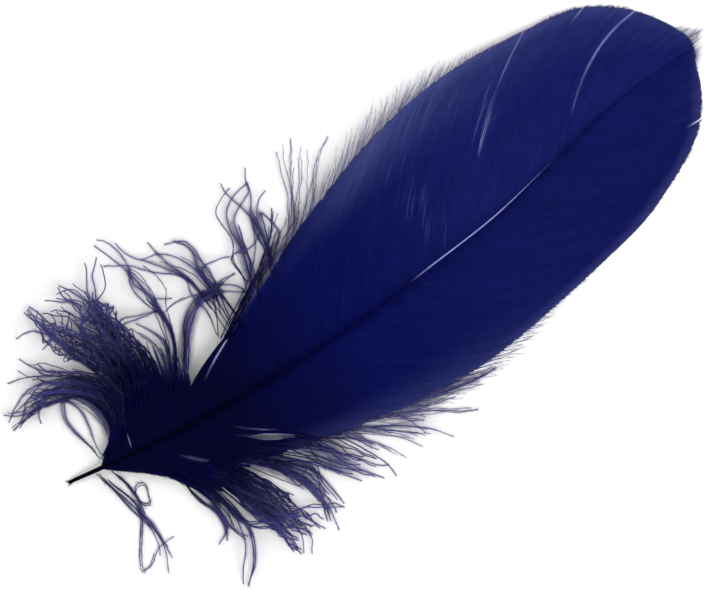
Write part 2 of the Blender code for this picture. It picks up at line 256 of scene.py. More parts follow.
@dataclass
class Shape:
    """Points, faces, bake places and marks of one piece, gathered before they are stored."""

    points: list[Array] = field(default_factory=list)
    faces: dict[int, list[Array]] = field(default_factory=dict)
    places: dict[int, list[Array]] = field(default_factory=dict)
    marks: dict[str, list[Array]] = field(default_factory=dict)
    count: int = 0

    def add(self, points: Array, faces: list[Array], places: list[Array],
            marks: dict[str, Array]) -> None:
        """Adds one set of points and its faces.

        Args:
            points: Points by (x, y, z), in millimetres.
            faces: For each number of corners, faces by corners, as indices into points.
            places: For each array of faces, the bake place (u, v) of every corner.
            marks: Values at the points, by name.
        """
        self.points.append(points)
        for face, place in zip(faces, places):
            corners = face.shape[1]
            self.faces.setdefault(corners, []).append(face + self.count)
            self.places.setdefault(corners, []).append(place)
        for name, values in marks.items():
            self.marks.setdefault(name, []).append(values)
        self.count += len(points)

    def store(self, name: str, material: bpy.types.Material,
              crisp: Section | None = None) -> bpy.types.Object:
        """Stores the shape as a smooth-shaded piece of the feather.

        Args:
            name: Name of the piece.
            material: Its finish.
            crisp: The section of its strips where their two thin edges are kept sharp.

        Returns:
            The piece, riding on the feather and standing for its solid.
        """
        points = np.concatenate(self.points)
        points[:, 2] = np.clip(points[:, 2], 0.0, CEILING)
        faces = [np.concatenate(group) for group in self.faces.values()]
        places = [np.concatenate(group) for group in self.places.values()]
        totals = np.concatenate([np.full(len(f), f.shape[1]) for f in faces])
        mesh = bpy.data.meshes.new(name)
        mesh.vertices.add(len(points))
        mesh.vertices.foreach_set("co", ((points + QUILL_END) * MM).ravel())
        mesh.loops.add(int(totals.sum()))
        mesh.loops.foreach_set("vertex_index", np.concatenate([f.ravel() for f in faces]))
        mesh.polygons.add(len(totals))
        mesh.polygons.foreach_set("loop_start", np.concatenate([[0], np.cumsum(totals)[:-1]]))
        bake = mesh.uv_layers.new(name=BAKE_MAP)
        bake.data.foreach_set("uv", np.concatenate([p.reshape(-1) for p in places]))
        for mark, values in self.marks.items():
            layer = mesh.attributes.new(mark, "FLOAT", "POINT")
            layer.data.foreach_set("value", np.concatenate(values).astype(np.float32))
        mesh.update(calc_edges=True)
        mesh.shade_smooth()
        if crisp:
            ends = np.zeros(len(mesh.edges) * 2, dtype=np.int32)
            mesh.edges.foreach_get("vertices", ends)
            corner = ends.reshape(-1, 2) % len(crisp.value)
            thin = (corner[:, 0] == corner[:, 1]) & (corner[:, 0] % 2 == 0)
            mesh.edges.foreach_set("use_edge_sharp", thin)
        mesh.materials.append(material)
        piece = bpy.data.objects.new(name, mesh)
        bpy.context.scene.collection.objects.link(piece)
        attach(piece, BODY)
        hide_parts(CAD_NODE)
        LOG.info("%s: %d points, %d triangles", name, len(points), int((totals - 2).sum()))
        return piece


BAND_MARGIN = 0.1           # share of a strip's band on the bake map that is left free on each side


def add_strips(shape: Shape, centres: Array, half_width: Array, half_height: Array,
               across: Array, section: Section, marks: dict[str, Array]) -> None:
    """Adds closed strips: a section with its own width and height carried along each path.

    A corner of the section at angle a lies at the centre, plus cos a times the half width across
    the path, plus sin a times the half height above it.

    Args:
        shape: The shape that takes the strips.
        centres: Strips by stations by (x, y, z).
        half_width: Half of the width at each station.
        half_height: Half of the height at each station.
        across: Unit vectors across each path, at each station.
        section: The section's corners.
        marks: Values at each station, or at each station and corner, by name.
    """
    strips, stations = centres.shape[:2]
    ahead = headings(centres)
    across = unit(squared(across, ahead))
    above = np.cross(ahead, across)
    turn = np.radians(np.array(section.value))
    corners = len(turn)
    points = (centres[:, :, None]
              + np.cos(turn)[:, None] * (half_width[..., None] * across)[:, :, None]
              + np.sin(turn)[:, None] * (half_height[..., None] * above)[:, :, None])
    index = np.arange(strips * stations * corners).reshape(strips, stations, corners)
    wrapped = np.roll(index, -1, axis=2)
    sides = np.stack([index[:, :-1], wrapped[:, :-1], wrapped[:, 1:], index[:, 1:]], axis=-1)
    caps = np.concatenate([index[:, 0, ::-1], index[:, -1]])

    u = np.linspace(0.0, 1.0, stations)[None, :, None]
    share = BAND_MARGIN + (1 - 2 * BAND_MARGIN) * np.arange(corners + 1) / corners
    u, v = np.broadcast_arrays(u, (np.arange(strips)[:, None, None] + share) / strips)
    grid = np.stack([u, v], axis=-1)
    side_places = np.stack([grid[:, :-1, :-1], grid[:, :-1, 1:], grid[:, 1:, 1:], grid[:, 1:, :-1]],
                           axis=3)
    cap_places = np.concatenate([grid[:, 0, -2::-1], grid[:, -1, :-1]])
    shape.add(points.reshape(-1, 3), [sides.reshape(-1, 4), caps],
              [side_places.reshape(-1, 4, 2), cap_places],
              {name: np.broadcast_to(values.reshape(strips, stations, -1),
                                     (strips, stations, corners)).reshape(-1)
               for name, values in marks.items()})


@dataclass(frozen=True)
class Barbules:
    """How thickly barbules stand on a strand, how long and broad they are, and how far they lean."""

    per_mm: float
    length: float
    breadth: float
    lean: Range                 # degrees off the strand
    bare: float                 # share of the strand without any, from its root
    last: float = 0.995         # share of the strand at which the last ones stand
    rock: float = 0.7           # how far they rock up and down along the strand
    scatter: float = 0.35
    shortest: float = 0.4
    shrink: float = 0.4         # length lost towards the strand's end
    foot: Point = (1.15, 0.3)   # width and height of a spike's foot, in half breadths
    least_haze: float = 0.12


def add_barbules(shape: Shape, centres: Array, marks: dict[str, Array], barbules: Barbules,
                 fullness: Array, rng: np.random.Generator) -> None:
    """Adds the barbules of strands: closed three-sided spikes that lean towards the strand's end.

    Each spike starts at a random place on a strand. It leaves in the strand's direction turned by
    its lean, to the left or right, and rocks slowly up and down along the strand. Spikes have
    lost more dye than their strand.

    Args:
        shape: The shape that takes the spikes.
        centres: Strands by stations by (x, y, z).
        marks: Values at each station, by name.
        barbules: Their number, size and lean.
        fullness: The share of that number which each strand has.
        rng: Source of the random places.
    """
    strands, stations = centres.shape[:2]
    weight = np.linalg.norm(np.diff(centres, axis=1), axis=2).sum(1) * fullness
    total = int(weight.sum() * barbules.per_mm)
    which = rng.choice(strands, total, p=weight / weight.sum())
    share = rng.uniform(barbules.bare, barbules.last, total)
    lower = np.floor(share * (stations - 1)).astype(int)
    part = (share * (stations - 1) - lower)[:, None]
    here, there = centres[which, lower], centres[which, lower + 1]
    foot = here * (1 - part) + there * part
    ahead = unit(there - here)
    aside = unit(np.cross([0.0, 0.0, 1.0], ahead))
    above = np.cross(ahead, aside)
    lean = np.radians(rng.uniform(*barbules.lean, total))[:, None]
    twist = np.sin(rng.uniform(*ANY_PHASE, strands)[which]
                   + share * rng.uniform(2, 7, strands)[which])
    roll = (barbules.rock * twist + math.pi * rng.integers(0, 2, total)
            + rng.normal(0, barbules.scatter, total))[:, None]
    outward = np.cos(roll) * aside + np.sin(roll) * above
    way = unit(np.cos(lean) * ahead + np.sin(lean) * outward)
    size = (barbules.length * rng.uniform(barbules.shortest, 1.0, total)
            * (1.0 - barbules.shrink * share))
    tip = foot + way * size[:, None]
    level = unit(np.cross(above + 1e-3, way))   # nudged, so that the two are never parallel
    upward = np.cross(way, level)
    turn = 2 * math.pi * np.arange(3) / 3 + math.pi / 2
    wide, high = barbules.foot
    base = (foot[:, None] + barbules.breadth / 2 * (wide * np.cos(turn)[:, None] * level[:, None]
                                                    + high * np.sin(turn)[:, None] * upward[:, None]))
    points = np.concatenate([base, tip[:, None]], axis=1).reshape(-1, 3)
    corner = 4 * np.arange(total)[:, None, None] + np.array([[0, 2, 1], [0, 1, 3], [1, 2, 3],
                                                             [2, 0, 3]])
    place = np.stack([share, (which + 0.5) / strands], axis=-1)
    places = np.broadcast_to(place[:, None, None], (total, 4, 3, 2)).reshape(-1, 3, 2)
    lent = {name: values[which, lower] for name, values in marks.items()}
    lent["haze"] = barbules.least_haze + (1 - barbules.least_haze) * lent["thinness"]
    shape.add(points, [corner.reshape(-1, 3)], [places],
              {name: np.repeat(values, 4) for name, values in lent.items()})


FILM_HALF_HEIGHT = 0.03
FILM_FOOT_OUT = 0.866       # how far out the two feet of a strand's section stand
FILM_STREAK_STEP = 7.0      # keeps the streaks of one film apart from the next one's


def add_films(shape: Shape, centres: Array, half_width: Values, cover: Values,
              thinness: Values, haze: Values = 0.0) -> None:
    """Adds flat closed films of the finest barbules, densest along their middle line.

    The section is a low triangle. Its ridge follows the middle line and carries the cover, and
    its two feet carry none, so that a film fades evenly to both sides.

    Args:
        shape: The shape that takes the films.
        centres: Films by stations by (x, y, z).
        half_width: Half of the width at each station.
        cover: How solid the ridge looks at each station, from 0 to 1.
        thinness: How much dye is lost at each station.
        haze: How far the colour goes to that of single barbules.
    """
    size = centres.shape[:2]
    ridge, feet = np.array([1.0, 0.0, 0.0]), np.array([0.0, -1.0, 1.0])
    half_width, cover = (np.broadcast_to(v, size)[..., None] for v in (half_width, cover))
    streaks = FILM_STREAK_STEP * np.arange(size[0])[:, None, None]
    add_strips(shape, centres, half_width[..., 0] / FILM_FOOT_OUT, np.full(size, FILM_HALF_HEIGHT),
               level_across(centres), Section.STRAND,
               spread(size, thinness=thinness, distance=travelled(centres), haze=haze)
               | {"cover": cover * ridge, "root": half_width * feet + streaks})


@dataclass
class Bench:
    """Places and joins the nodes of one node tree."""

    tree: bpy.types.NodeTree

    def node(self, kind: str, **settings: object) -> bpy.types.Node:
        """Adds a node to the tree.

        Args:
            kind: Its type in Blender.
            settings: Its settings, by name.

        Returns:
            The node.
        """
        made = self.tree.nodes.new(kind)
        for name, value in settings.items():
            setattr(made, name, value)
        return made

    def feed(self, socket: bpy.types.NodeSocket, value: object) -> None:
        """Joins a socket to the value if that is a socket too, and otherwise sets it.

        Args:
            socket: The input.
            value: A socket, a colour or a number.
        """
        if isinstance(value, bpy.types.NodeSocket):
            self.tree.links.new(value, socket)
        elif isinstance(value, tuple) and len(value) == 3 and socket.type == "RGBA":
            socket.default_value = (*value, 1.0)
        else:
            socket.default_value = value

    def fill(self, node: bpy.types.Node, **values: object) -> bpy.types.NodeOutputs:
        """Feeds several inputs of a node.

        Args:
            node: The node.
            values: What each input gets, by its name with _ for a space.

        Returns:
            The node's outputs.
        """
        for name, value in values.items():
            self.feed(node.inputs[name.replace("_", " ")], value)
        return node.outputs

    def marks(self, *names: str) -> dict[str, bpy.types.NodeSocket]:
        """The values that the mesh keeps at its points under these names, by capitalised name."""
        return {name.capitalize(): self.node("ShaderNodeAttribute", attribute_name=name).outputs["Fac"]
                for name in names}

    def place(self) -> bpy.types.NodeSocket:
        """The place on the object, in metres."""
        return self.node("ShaderNodeTexCoord").outputs["Object"]

    def math(self, operation: str, *values: object, clamp: bool = False) -> bpy.types.NodeSocket:
        """Places a sum.

        Args:
            operation: The kind of sum.
            values: One to three values or sockets.
            clamp: Whether the result is kept between 0 and 1.

        Returns:
            The result.
        """
        made = self.node("ShaderNodeMath", operation=operation, use_clamp=clamp)
        for socket, value in zip(made.inputs, values):
            self.feed(socket, value)
        return made.outputs[0]

    def ease(self, value: object, low: float, high: float, start: float = 0.0,
             end: float = 1.0) -> bpy.types.NodeSocket:
        """Carries a value from one range to another along a smooth S.

        Args:
            value: The value or socket.
            low: Where the S begins.
            high: Where it ends.
            start: The result at low and below it.
            end: The result at high and above it.

        Returns:
            The result.
        """
        made = self.node("ShaderNodeMapRange", interpolation_type="SMOOTHSTEP")
        return self.fill(made, Value=value, From_Min=low, From_Max=high, To_Min=start,
                         To_Max=end)["Result"]

    def mix(self, share: object, first: object, second: object,
            blend: str = "MIX") -> bpy.types.NodeSocket:
        """Mixes two colours.

        Args:
            share: How much of the second one is in the result.
            first: The first colour.
            second: The second colour.
            blend: The way in which they are mixed.

        Returns:
            The result.
        """
        made = self.node("ShaderNodeMix", data_type="RGBA", blend_type=blend)
        for socket, value in ((0, share), (6, first), (7, second)):
            self.feed(made.inputs[socket], value)
        return made.outputs[2]

    def noise(self, vector: object, scale: float, detail: float = 2.0) -> bpy.types.NodeSocket:
        """Soft random values from 0 to 1, with the given number of lumps to the unit."""
        return self.fill(self.node("ShaderNodeTexNoise"), Vector=vector, Scale=scale,
                         Detail=detail)["Fac"]

    def group(self, tree: bpy.types.NodeTree, **values: object) -> bpy.types.NodeOutputs:
        """Places a shared effect with its own values, and gives its outputs."""
        return self.fill(self.node("ShaderNodeGroup", node_tree=tree), **values)

    def bump(self, height: object, depth: float, strength: float = 1.0) -> bpy.types.NodeSocket:
        """The normal of a surface whose height 1 stands for a depth in millimetres."""
        return self.fill(self.node("ShaderNodeBump"), Height=height, Distance=depth * MM,
                         Strength=strength)["Normal"]


@dataclass(frozen=True)
class Effects:
    """The shared effects, each a node group that is built once."""

    dye_depth: bpy.types.NodeTree
    barb_grain: bpy.types.NodeTree
    barb_streaks: bpy.types.NodeTree

    @staticmethod
    def started(name: str, inputs: dict[str, str], outputs: dict[str, str]) -> tuple[
            Bench, bpy.types.NodeOutputs, bpy.types.NodeInputs]:
        """Starts a node group.

        Args:
            name: Name of the group.
            inputs: Kind of socket of each input, by name.
            outputs: Kind of socket of each output, by name.

        Returns:
            The group's bench, what comes in, and what goes out.
        """
        tree = bpy.data.node_groups.new(name, "ShaderNodeTree")
        for way, sockets in (("INPUT", inputs), ("OUTPUT", outputs)):
            for label, kind in sockets.items():
                tree.interface.new_socket(label, in_out=way, socket_type="NodeSocket" + kind)
        bench = Bench(tree)
        return bench, bench.node("NodeGroupInput").outputs, bench.node("NodeGroupOutput").inputs

    @classmethod
    def build(cls) -> "Effects":
        """Builds the groups."""
        return cls(cls.build_dye_depth(), cls.build_barb_grain(), cls.build_barb_streaks())

    @classmethod
    def build_dye_depth(cls) -> bpy.types.NodeTree:
        """The dye: near black where barbs lie thick at the quill end, full from the middle on.

        The colour goes from Deepest through Deep to Full as the place along the shaft grows, and
        towards Thin where barbs are thin; on the vanes Thinness also carries painted sheen and painted
        light along the margin. Each barb is a little lighter or darker by its Tone.
        Haze brings out the pale colour of single barbules.

        Returns:
            The group.
        """
        to_deep, to_full, wander = (34.0, 66.0), (62.0, 108.0), 14.0    # millimetres
        darkest, lightest = 0.86, 1.14
        bench, given, out = cls.started(
            "dye_depth",
            {**dict.fromkeys(("Place", "Thinness", "Tone", "Patches", "Haze"), "Float"),
             **dict.fromkeys(("Deepest", "Deep", "Full", "Thin"), "Color")},
            {"Color": "Color"})
        place = bench.math("MULTIPLY_ADD", given["Patches"], wander, given["Place"])
        deep = bench.mix(bench.ease(place, *to_deep), given["Deepest"], given["Deep"])
        full = bench.mix(bench.ease(place, *to_full), deep, given["Full"])
        thin = bench.mix(given["Thinness"], full, given["Thin"])
        hazy = bench.mix(given["Haze"], thin, BARBULE_HAZE)
        tone = bench.ease(given["Tone"], 0.0, 1.0, darkest, lightest)
        bench.feed(out["Color"], bench.mix(1.0, hazy, tone, "MULTIPLY"))
        return bench.tree

    @classmethod
    def build_barb_grain(cls) -> bpy.types.NodeTree:
        """Fine barbule ribs across each barb, broken up by soft noise.

        The rib height is a sine of the distance along the barb, Pitch millimetres from crest to
        crest, and Mask is its soft light and dark.

        Returns:
            The group.
        """
        lumps_per_metre, wobble, rib_height = 900.0, 3.0, 0.35
        bench, given, out = cls.started(
            "barb_grain", {"Vector": "Vector", "Distance": "Float", "Pitch": "Float"},
            {"Height": "Float", "Mask": "Float"})
        patches = bench.noise(given["Vector"], lumps_per_metre)
        phase = bench.math("DIVIDE", given["Distance"], given["Pitch"])
        turns = bench.math("MULTIPLY_ADD", patches, wobble, phase)
        rib = bench.math("SINE", bench.math("MULTIPLY", turns, 2 * math.pi))
        height = bench.math("MULTIPLY_ADD", rib, rib_height, patches)
        bench.feed(out["Height"], height)
        bench.feed(out["Mask"], bench.ease(height, 0.0, 1.0))
        return bench.tree

    @classmethod
    def build_barb_streaks(cls) -> bpy.types.NodeTree:
        """Faint light and dark streaks that follow the barbs.

        Soft noise is read at the distance along the barb and the place of its root, so that its
        lumps are drawn out along the barbs, once finely and once broadly. Mask is 0.5 on average.

        Returns:
            The group.
        """
        bench, given, out = cls.started("barb_streaks", {"Distance": "Float", "Root": "Float"},
                                        {"Mask": "Float"})
        layers = []
        for along, beside, detail, weight in ((0.45, 2.2, 3.0, 0.6), (0.1, 0.35, 2.0, 0.4)):
            where = bench.fill(bench.node("ShaderNodeCombineXYZ"),
                               X=bench.math("MULTIPLY", given["Distance"], along),
                               Y=bench.math("MULTIPLY", given["Root"], beside))
            lumps = bench.noise(where["Vector"], 1.0, detail)
            layers.append(bench.math("MULTIPLY", lumps, weight))
        bench.feed(out["Mask"], bench.math("ADD", *layers))
        return bench.tree


def started_material(name: str, gloss: float, tint: Colour = WHITE) -> tuple[
        bpy.types.Material, Bench, bpy.types.Node]:
    """Starts a material.

    Args:
        name: Name of the material.
        gloss: Its specular level.
        tint: Colour of its gloss.

    Returns:
        The material, its bench and its shader.
    """
    material = bpy.data.materials.new(name)
    material.use_nodes = True
    bench, shader = Bench(material.node_tree), material.node_tree.nodes["Principled BSDF"]
    bench.fill(shader, Specular_IOR_Level=gloss, Specular_Tint=tint)
    return material, bench, shader


class BarbDye(Enum):
    """The dyes of the barbs: the name of the finish and its full colour. The right one is darker, as
    painted shade.
    """

    LEFT = ("dyed_barbs", FULL_DYE)
    RIGHT = ("dyed_barbs_right_painted_shade", FULL_DYE_RIGHT_PAINTED_SHADE)


@dataclass(frozen=True)
class VaneFinish:
    """Satin barbs dyed navy, deeper towards the quill and lighter at the margin: partly thinner barbs,
    partly painted sheen and painted light.
    """

    name: str
    full: Colour
    roughness: Range = (0.46, 0.62)
    gloss: float = 0.06
    streaks: Range = (0.8, 1.2)     # how dark and how light the streaks are
    rib_pitch: float = 0.12
    rib_depth: float = 0.03

    def material(self, effects: Effects) -> bpy.types.Material:
        """Builds the finish from the barbs' marks.

        Args:
            effects: The shared effects.

        Returns:
            The material.
        """
        material, bench, shader = started_material(self.name, self.gloss, BLUE_SHEEN)
        where = bench.place()
        dye = bench.group(effects.dye_depth, **bench.marks("place", "thinness", "tone", "haze"),
                          Patches=bench.math("SUBTRACT", bench.noise(where, 60.0), 0.5),
                          Deepest=NEAR_BLACK_DYE, Deep=DEEP_DYE, Full=self.full, Thin=THIN_DYE_AND_PAINTED_LIGHT)
        streaks = bench.group(effects.barb_streaks, **bench.marks("distance", "root"))["Mask"]
        dyed = bench.mix(1.0, dye["Color"], bench.ease(streaks, 0.3, 0.7, *self.streaks), "MULTIPLY")
        grain = bench.group(effects.barb_grain, Vector=where, Pitch=self.rib_pitch,
                            **bench.marks("distance"))
        # Painted light: barbs beside a split and along the pale dashes go towards a pale lavender.
        lightened = bench.math("MULTIPLY", bench.marks("pale")["Pale"],
                          bench.ease(streaks, 0.25, 0.6, 0.45, 1.0))
        bench.fill(shader, Base_Color=bench.mix(lightened, dyed, PALE_PAINTED_LIGHT),
                   Roughness=bench.ease(grain["Mask"], 0.0, 1.0, *self.roughness),
                   Normal=bench.bump(grain["Height"], self.rib_depth, 0.5))
        return material


@dataclass(frozen=True)
class ShaftFinish:
    """Horny shaft, black with dye at the quill, with a pale band along its crest that is a painted
    highlight.
    """

    roughness: Range = (0.45, 0.62)
    gloss: float = 0.03
    deepest: Colour = (0.0006, 0.0004, 0.005)
    deep: Colour = (0.0010, 0.0014, 0.030)
    full: Colour = (0.0030, 0.0045, 0.060)
    growth_pitch: float = 2.5
    growth_depth: float = 0.02

    def material(self, effects: Effects) -> bpy.types.Material:
        """Builds the finish from the shaft's marks.

        Args:
            effects: The shared effects.

        Returns:
            The material.
        """
        material, bench, shader = started_material("dyed_shaft", self.gloss, BLUE_SHEEN)
        where = bench.place()
        streaks = bench.noise(where, 700.0)
        dye = bench.group(effects.dye_depth, Thinness=0.0, Tone=streaks, Patches=0.0,
                          Deepest=self.deepest, Deep=self.deep, Full=self.full, Thin=THIN_DYE_AND_PAINTED_LIGHT,
                          **bench.marks("place"))
        # Painted highlight: over the crest band the shaft goes towards the pale colour.
        lightened = bench.math("MULTIPLY", bench.marks("pale")["Pale"],
                          bench.ease(streaks, 0.2, 0.6, 0.7, 1.0))
        grain = bench.group(effects.barb_grain, Vector=where, Pitch=self.growth_pitch,
                            **bench.marks("distance"))
        bench.fill(shader, Base_Color=bench.mix(lightened, dye["Color"], PALE_PAINTED_LIGHT),
                   Roughness=bench.ease(streaks, 0.2, 0.8, *self.roughness),
                   Normal=bench.bump(grain["Height"], self.growth_depth))
        return material


@dataclass(frozen=True)
class DownFinish:
    """Soft down: near black where it is rooted, greyer and thinner in colour to its ends."""

    roughness: Range = (0.62, 0.8)
    gloss: float = 0.08
    rib_pitch: float = 0.3

    def material(self, effects: Effects) -> bpy.types.Material:
        """Builds the finish from the strands' marks.

        Args:
            effects: The shared effects.

        Returns:
            The material.
        """
        material, bench, shader = started_material("dyed_down", self.gloss, BLUE_SHEEN)
        where = bench.place()
        dye = bench.group(effects.dye_depth, Place=0.0, **bench.marks("thinness", "tone", "haze"),
                          Patches=bench.math("SUBTRACT", bench.noise(where, 120.0), 0.5),
                          Deepest=DOWN_DEEP, Deep=DEEP_DYE, Full=FULL_DYE, Thin=DOWN_TIP)
        grain = bench.group(effects.barb_grain, Vector=where, Pitch=self.rib_pitch,
                            **bench.marks("distance"))
        bench.fill(shader, Base_Color=dye["Color"],
                   Roughness=bench.ease(grain["Mask"], 0.0, 1.0, *self.roughness))
        return material


@dataclass(frozen=True)
class FilmFinish:
    """Matt film of the finest barbules, which lets the table through between them."""

    roughness: float = 0.8
    gloss: float = 0.05
    rooted: Colour = (0.018, 0.013, 0.135)
    free: Colour = (0.075, 0.062, 0.290)
    clumps: Range = (0.45, 1.45)    # how open and how dense the film is, as shares of its cover

    def material(self, effects: Effects) -> bpy.types.Material:
        """Builds the finish from the films' marks.

        Args:
            effects: The shared effects.

        Returns:
            The material.
        """
        material, bench, shader = started_material("barbule_film", self.gloss)
        streaks = bench.group(effects.barb_streaks, **bench.marks("distance", "root"))["Mask"]
        mark = bench.marks("thinness", "haze", "cover")
        dyed = bench.mix(mark["Thinness"], self.rooted, self.free)
        bench.fill(shader, Base_Color=bench.mix(mark["Haze"], dyed, BARBULE_HAZE),
                   Roughness=self.roughness,
                   Alpha=bench.math("MULTIPLY", mark["Cover"],
                                    bench.ease(streaks, 0.3, 0.7, *self.clumps), clamp=True))
        return material


@dataclass(frozen=True)
class Split:
    """A place where neighbouring barbs part, between two points (x, y) of a vane."""

    start: Point
    end: Point
    gap: float = 0.3
    # pale: how strongly the barbs beside it take painted light, for the lit table seen through the
    # parting
    pale: float = 0.8


@dataclass(frozen=True)
class PaleDashes:
    """A patch of a vane with short pale dashes along the barbs: painted light, laid as splits without a
    gap.
    """

    middle: Point
    spread: Point
    marks: int
    pale: float
    heading: float              # degrees from +X
    seed: int
    lengths: Range = (0.8, 2.6)     # of its marks, along the barbs

    def splits(self) -> tuple[Split, ...]:
        """Short closed splits, scattered round the middle.

        Returns:
            The splits.
        """
        rng = np.random.default_rng(self.seed)
        way = np.array([math.cos(math.radians(self.heading)), math.sin(math.radians(self.heading))])
        starts = np.array(self.middle) + rng.normal(0, 1, (self.marks, 2)) * self.spread
        ends = starts + way * rng.uniform(*self.lengths, (self.marks, 1))
        pale = self.pale * rng.uniform(0.3, 1.0, self.marks)
        return tuple(Split(tuple(a), tuple(b), 0.0, p) for a, b, p in zip(starts, ends, pale))


@dataclass
class Shaft:
    """The bare quill and the shaft between the vanes."""

    start: float = -0.5
    radius: Knots = ((-0.5, 0.2), (0, 0.30), (3, 0.44), (8, 0.5), (20, 0.4), (40, 0.28), (70, 0.22),
                     (90, 0.2), (110, 0.15), (149, 0.06))
    stations: int = 150
    crowding: float = 1.1       # above 1, the stations stand closer together at the quill
    flatness: float = 0.9
    proud: float = 0.1          # how far it stands over the solid's shaft between the vanes
    proud_from: Range = (8.0, 20.0)
    # Where the painted highlight along the crest fades in and where it fades out, in millimetres along
    # the shaft.
    crest_begins: Range = (78.0, 86.0)
    crest_ends: Range = (100.0, 118.0)
    fray_from: Point = (1.2, -0.2)
    fray_ends: Line = ((-0.9, 0.55), (-1.0, -0.5), (-0.75, 0.1), (-0.6, -0.2))
    fray_radius: Range = (0.2, 0.06)
    fray_height: Range = (0.3, 0.2)
    fray_stations: int = 5
    seed: int = 3

    def build(self, material: bpy.types.Material) -> bpy.types.Object:
        """A tube of eight corners along the shaft's line, with a frayed and forked cut end.

        Args:
            material: Its finish.

        Returns:
            The piece.
        """
        along = np.linspace(0.0, 1.0, self.stations) ** self.crowding
        x = self.start + (GROWTH.length - self.start) * along
        radius = smooth(self.radius, x)
        z = np.maximum(GROWTH.shaft_height(x) + self.proud * eased(x, *self.proud_from), radius)
        centres = np.stack([x, GROWTH.middle(x), z], axis=-1)[None]
        # Painted highlight: a pale band over the middle stretch of the shaft, carried by the pale mark.
        crest = eased(x, *self.crest_begins) * (1 - eased(x, *self.crest_ends))
        shape = Shape()
        add_strips(shape, centres, radius[None], radius[None] * self.flatness,
                   level_across(centres), Section.ROUND,
                   spread((1, self.stations), place=x, distance=x, pale=crest))
        rng = np.random.default_rng(self.seed)
        size = (len(self.fray_ends), self.fray_stations)
        g = np.linspace(0.0, 1.0, self.fray_stations)
        plan = (np.array(self.fray_from) * (1 - g[:, None])
                + np.array(self.fray_ends)[:, None] * g[:, None]
                + rng.normal(0, 0.03, (*size, 2)) * g[:, None])
        fray = raised(plan, np.broadcast_to(np.linspace(*self.fray_height, len(g)), size))
        thin = np.broadcast_to(np.linspace(*self.fray_radius, len(g)), size)
        add_strips(shape, fray, thin, thin, level_across(fray), Section.STRAND,
                   spread(size, place=fray[..., 0], distance=fray[..., 0], pale=0.0))
        return shape.store("shaft", material)


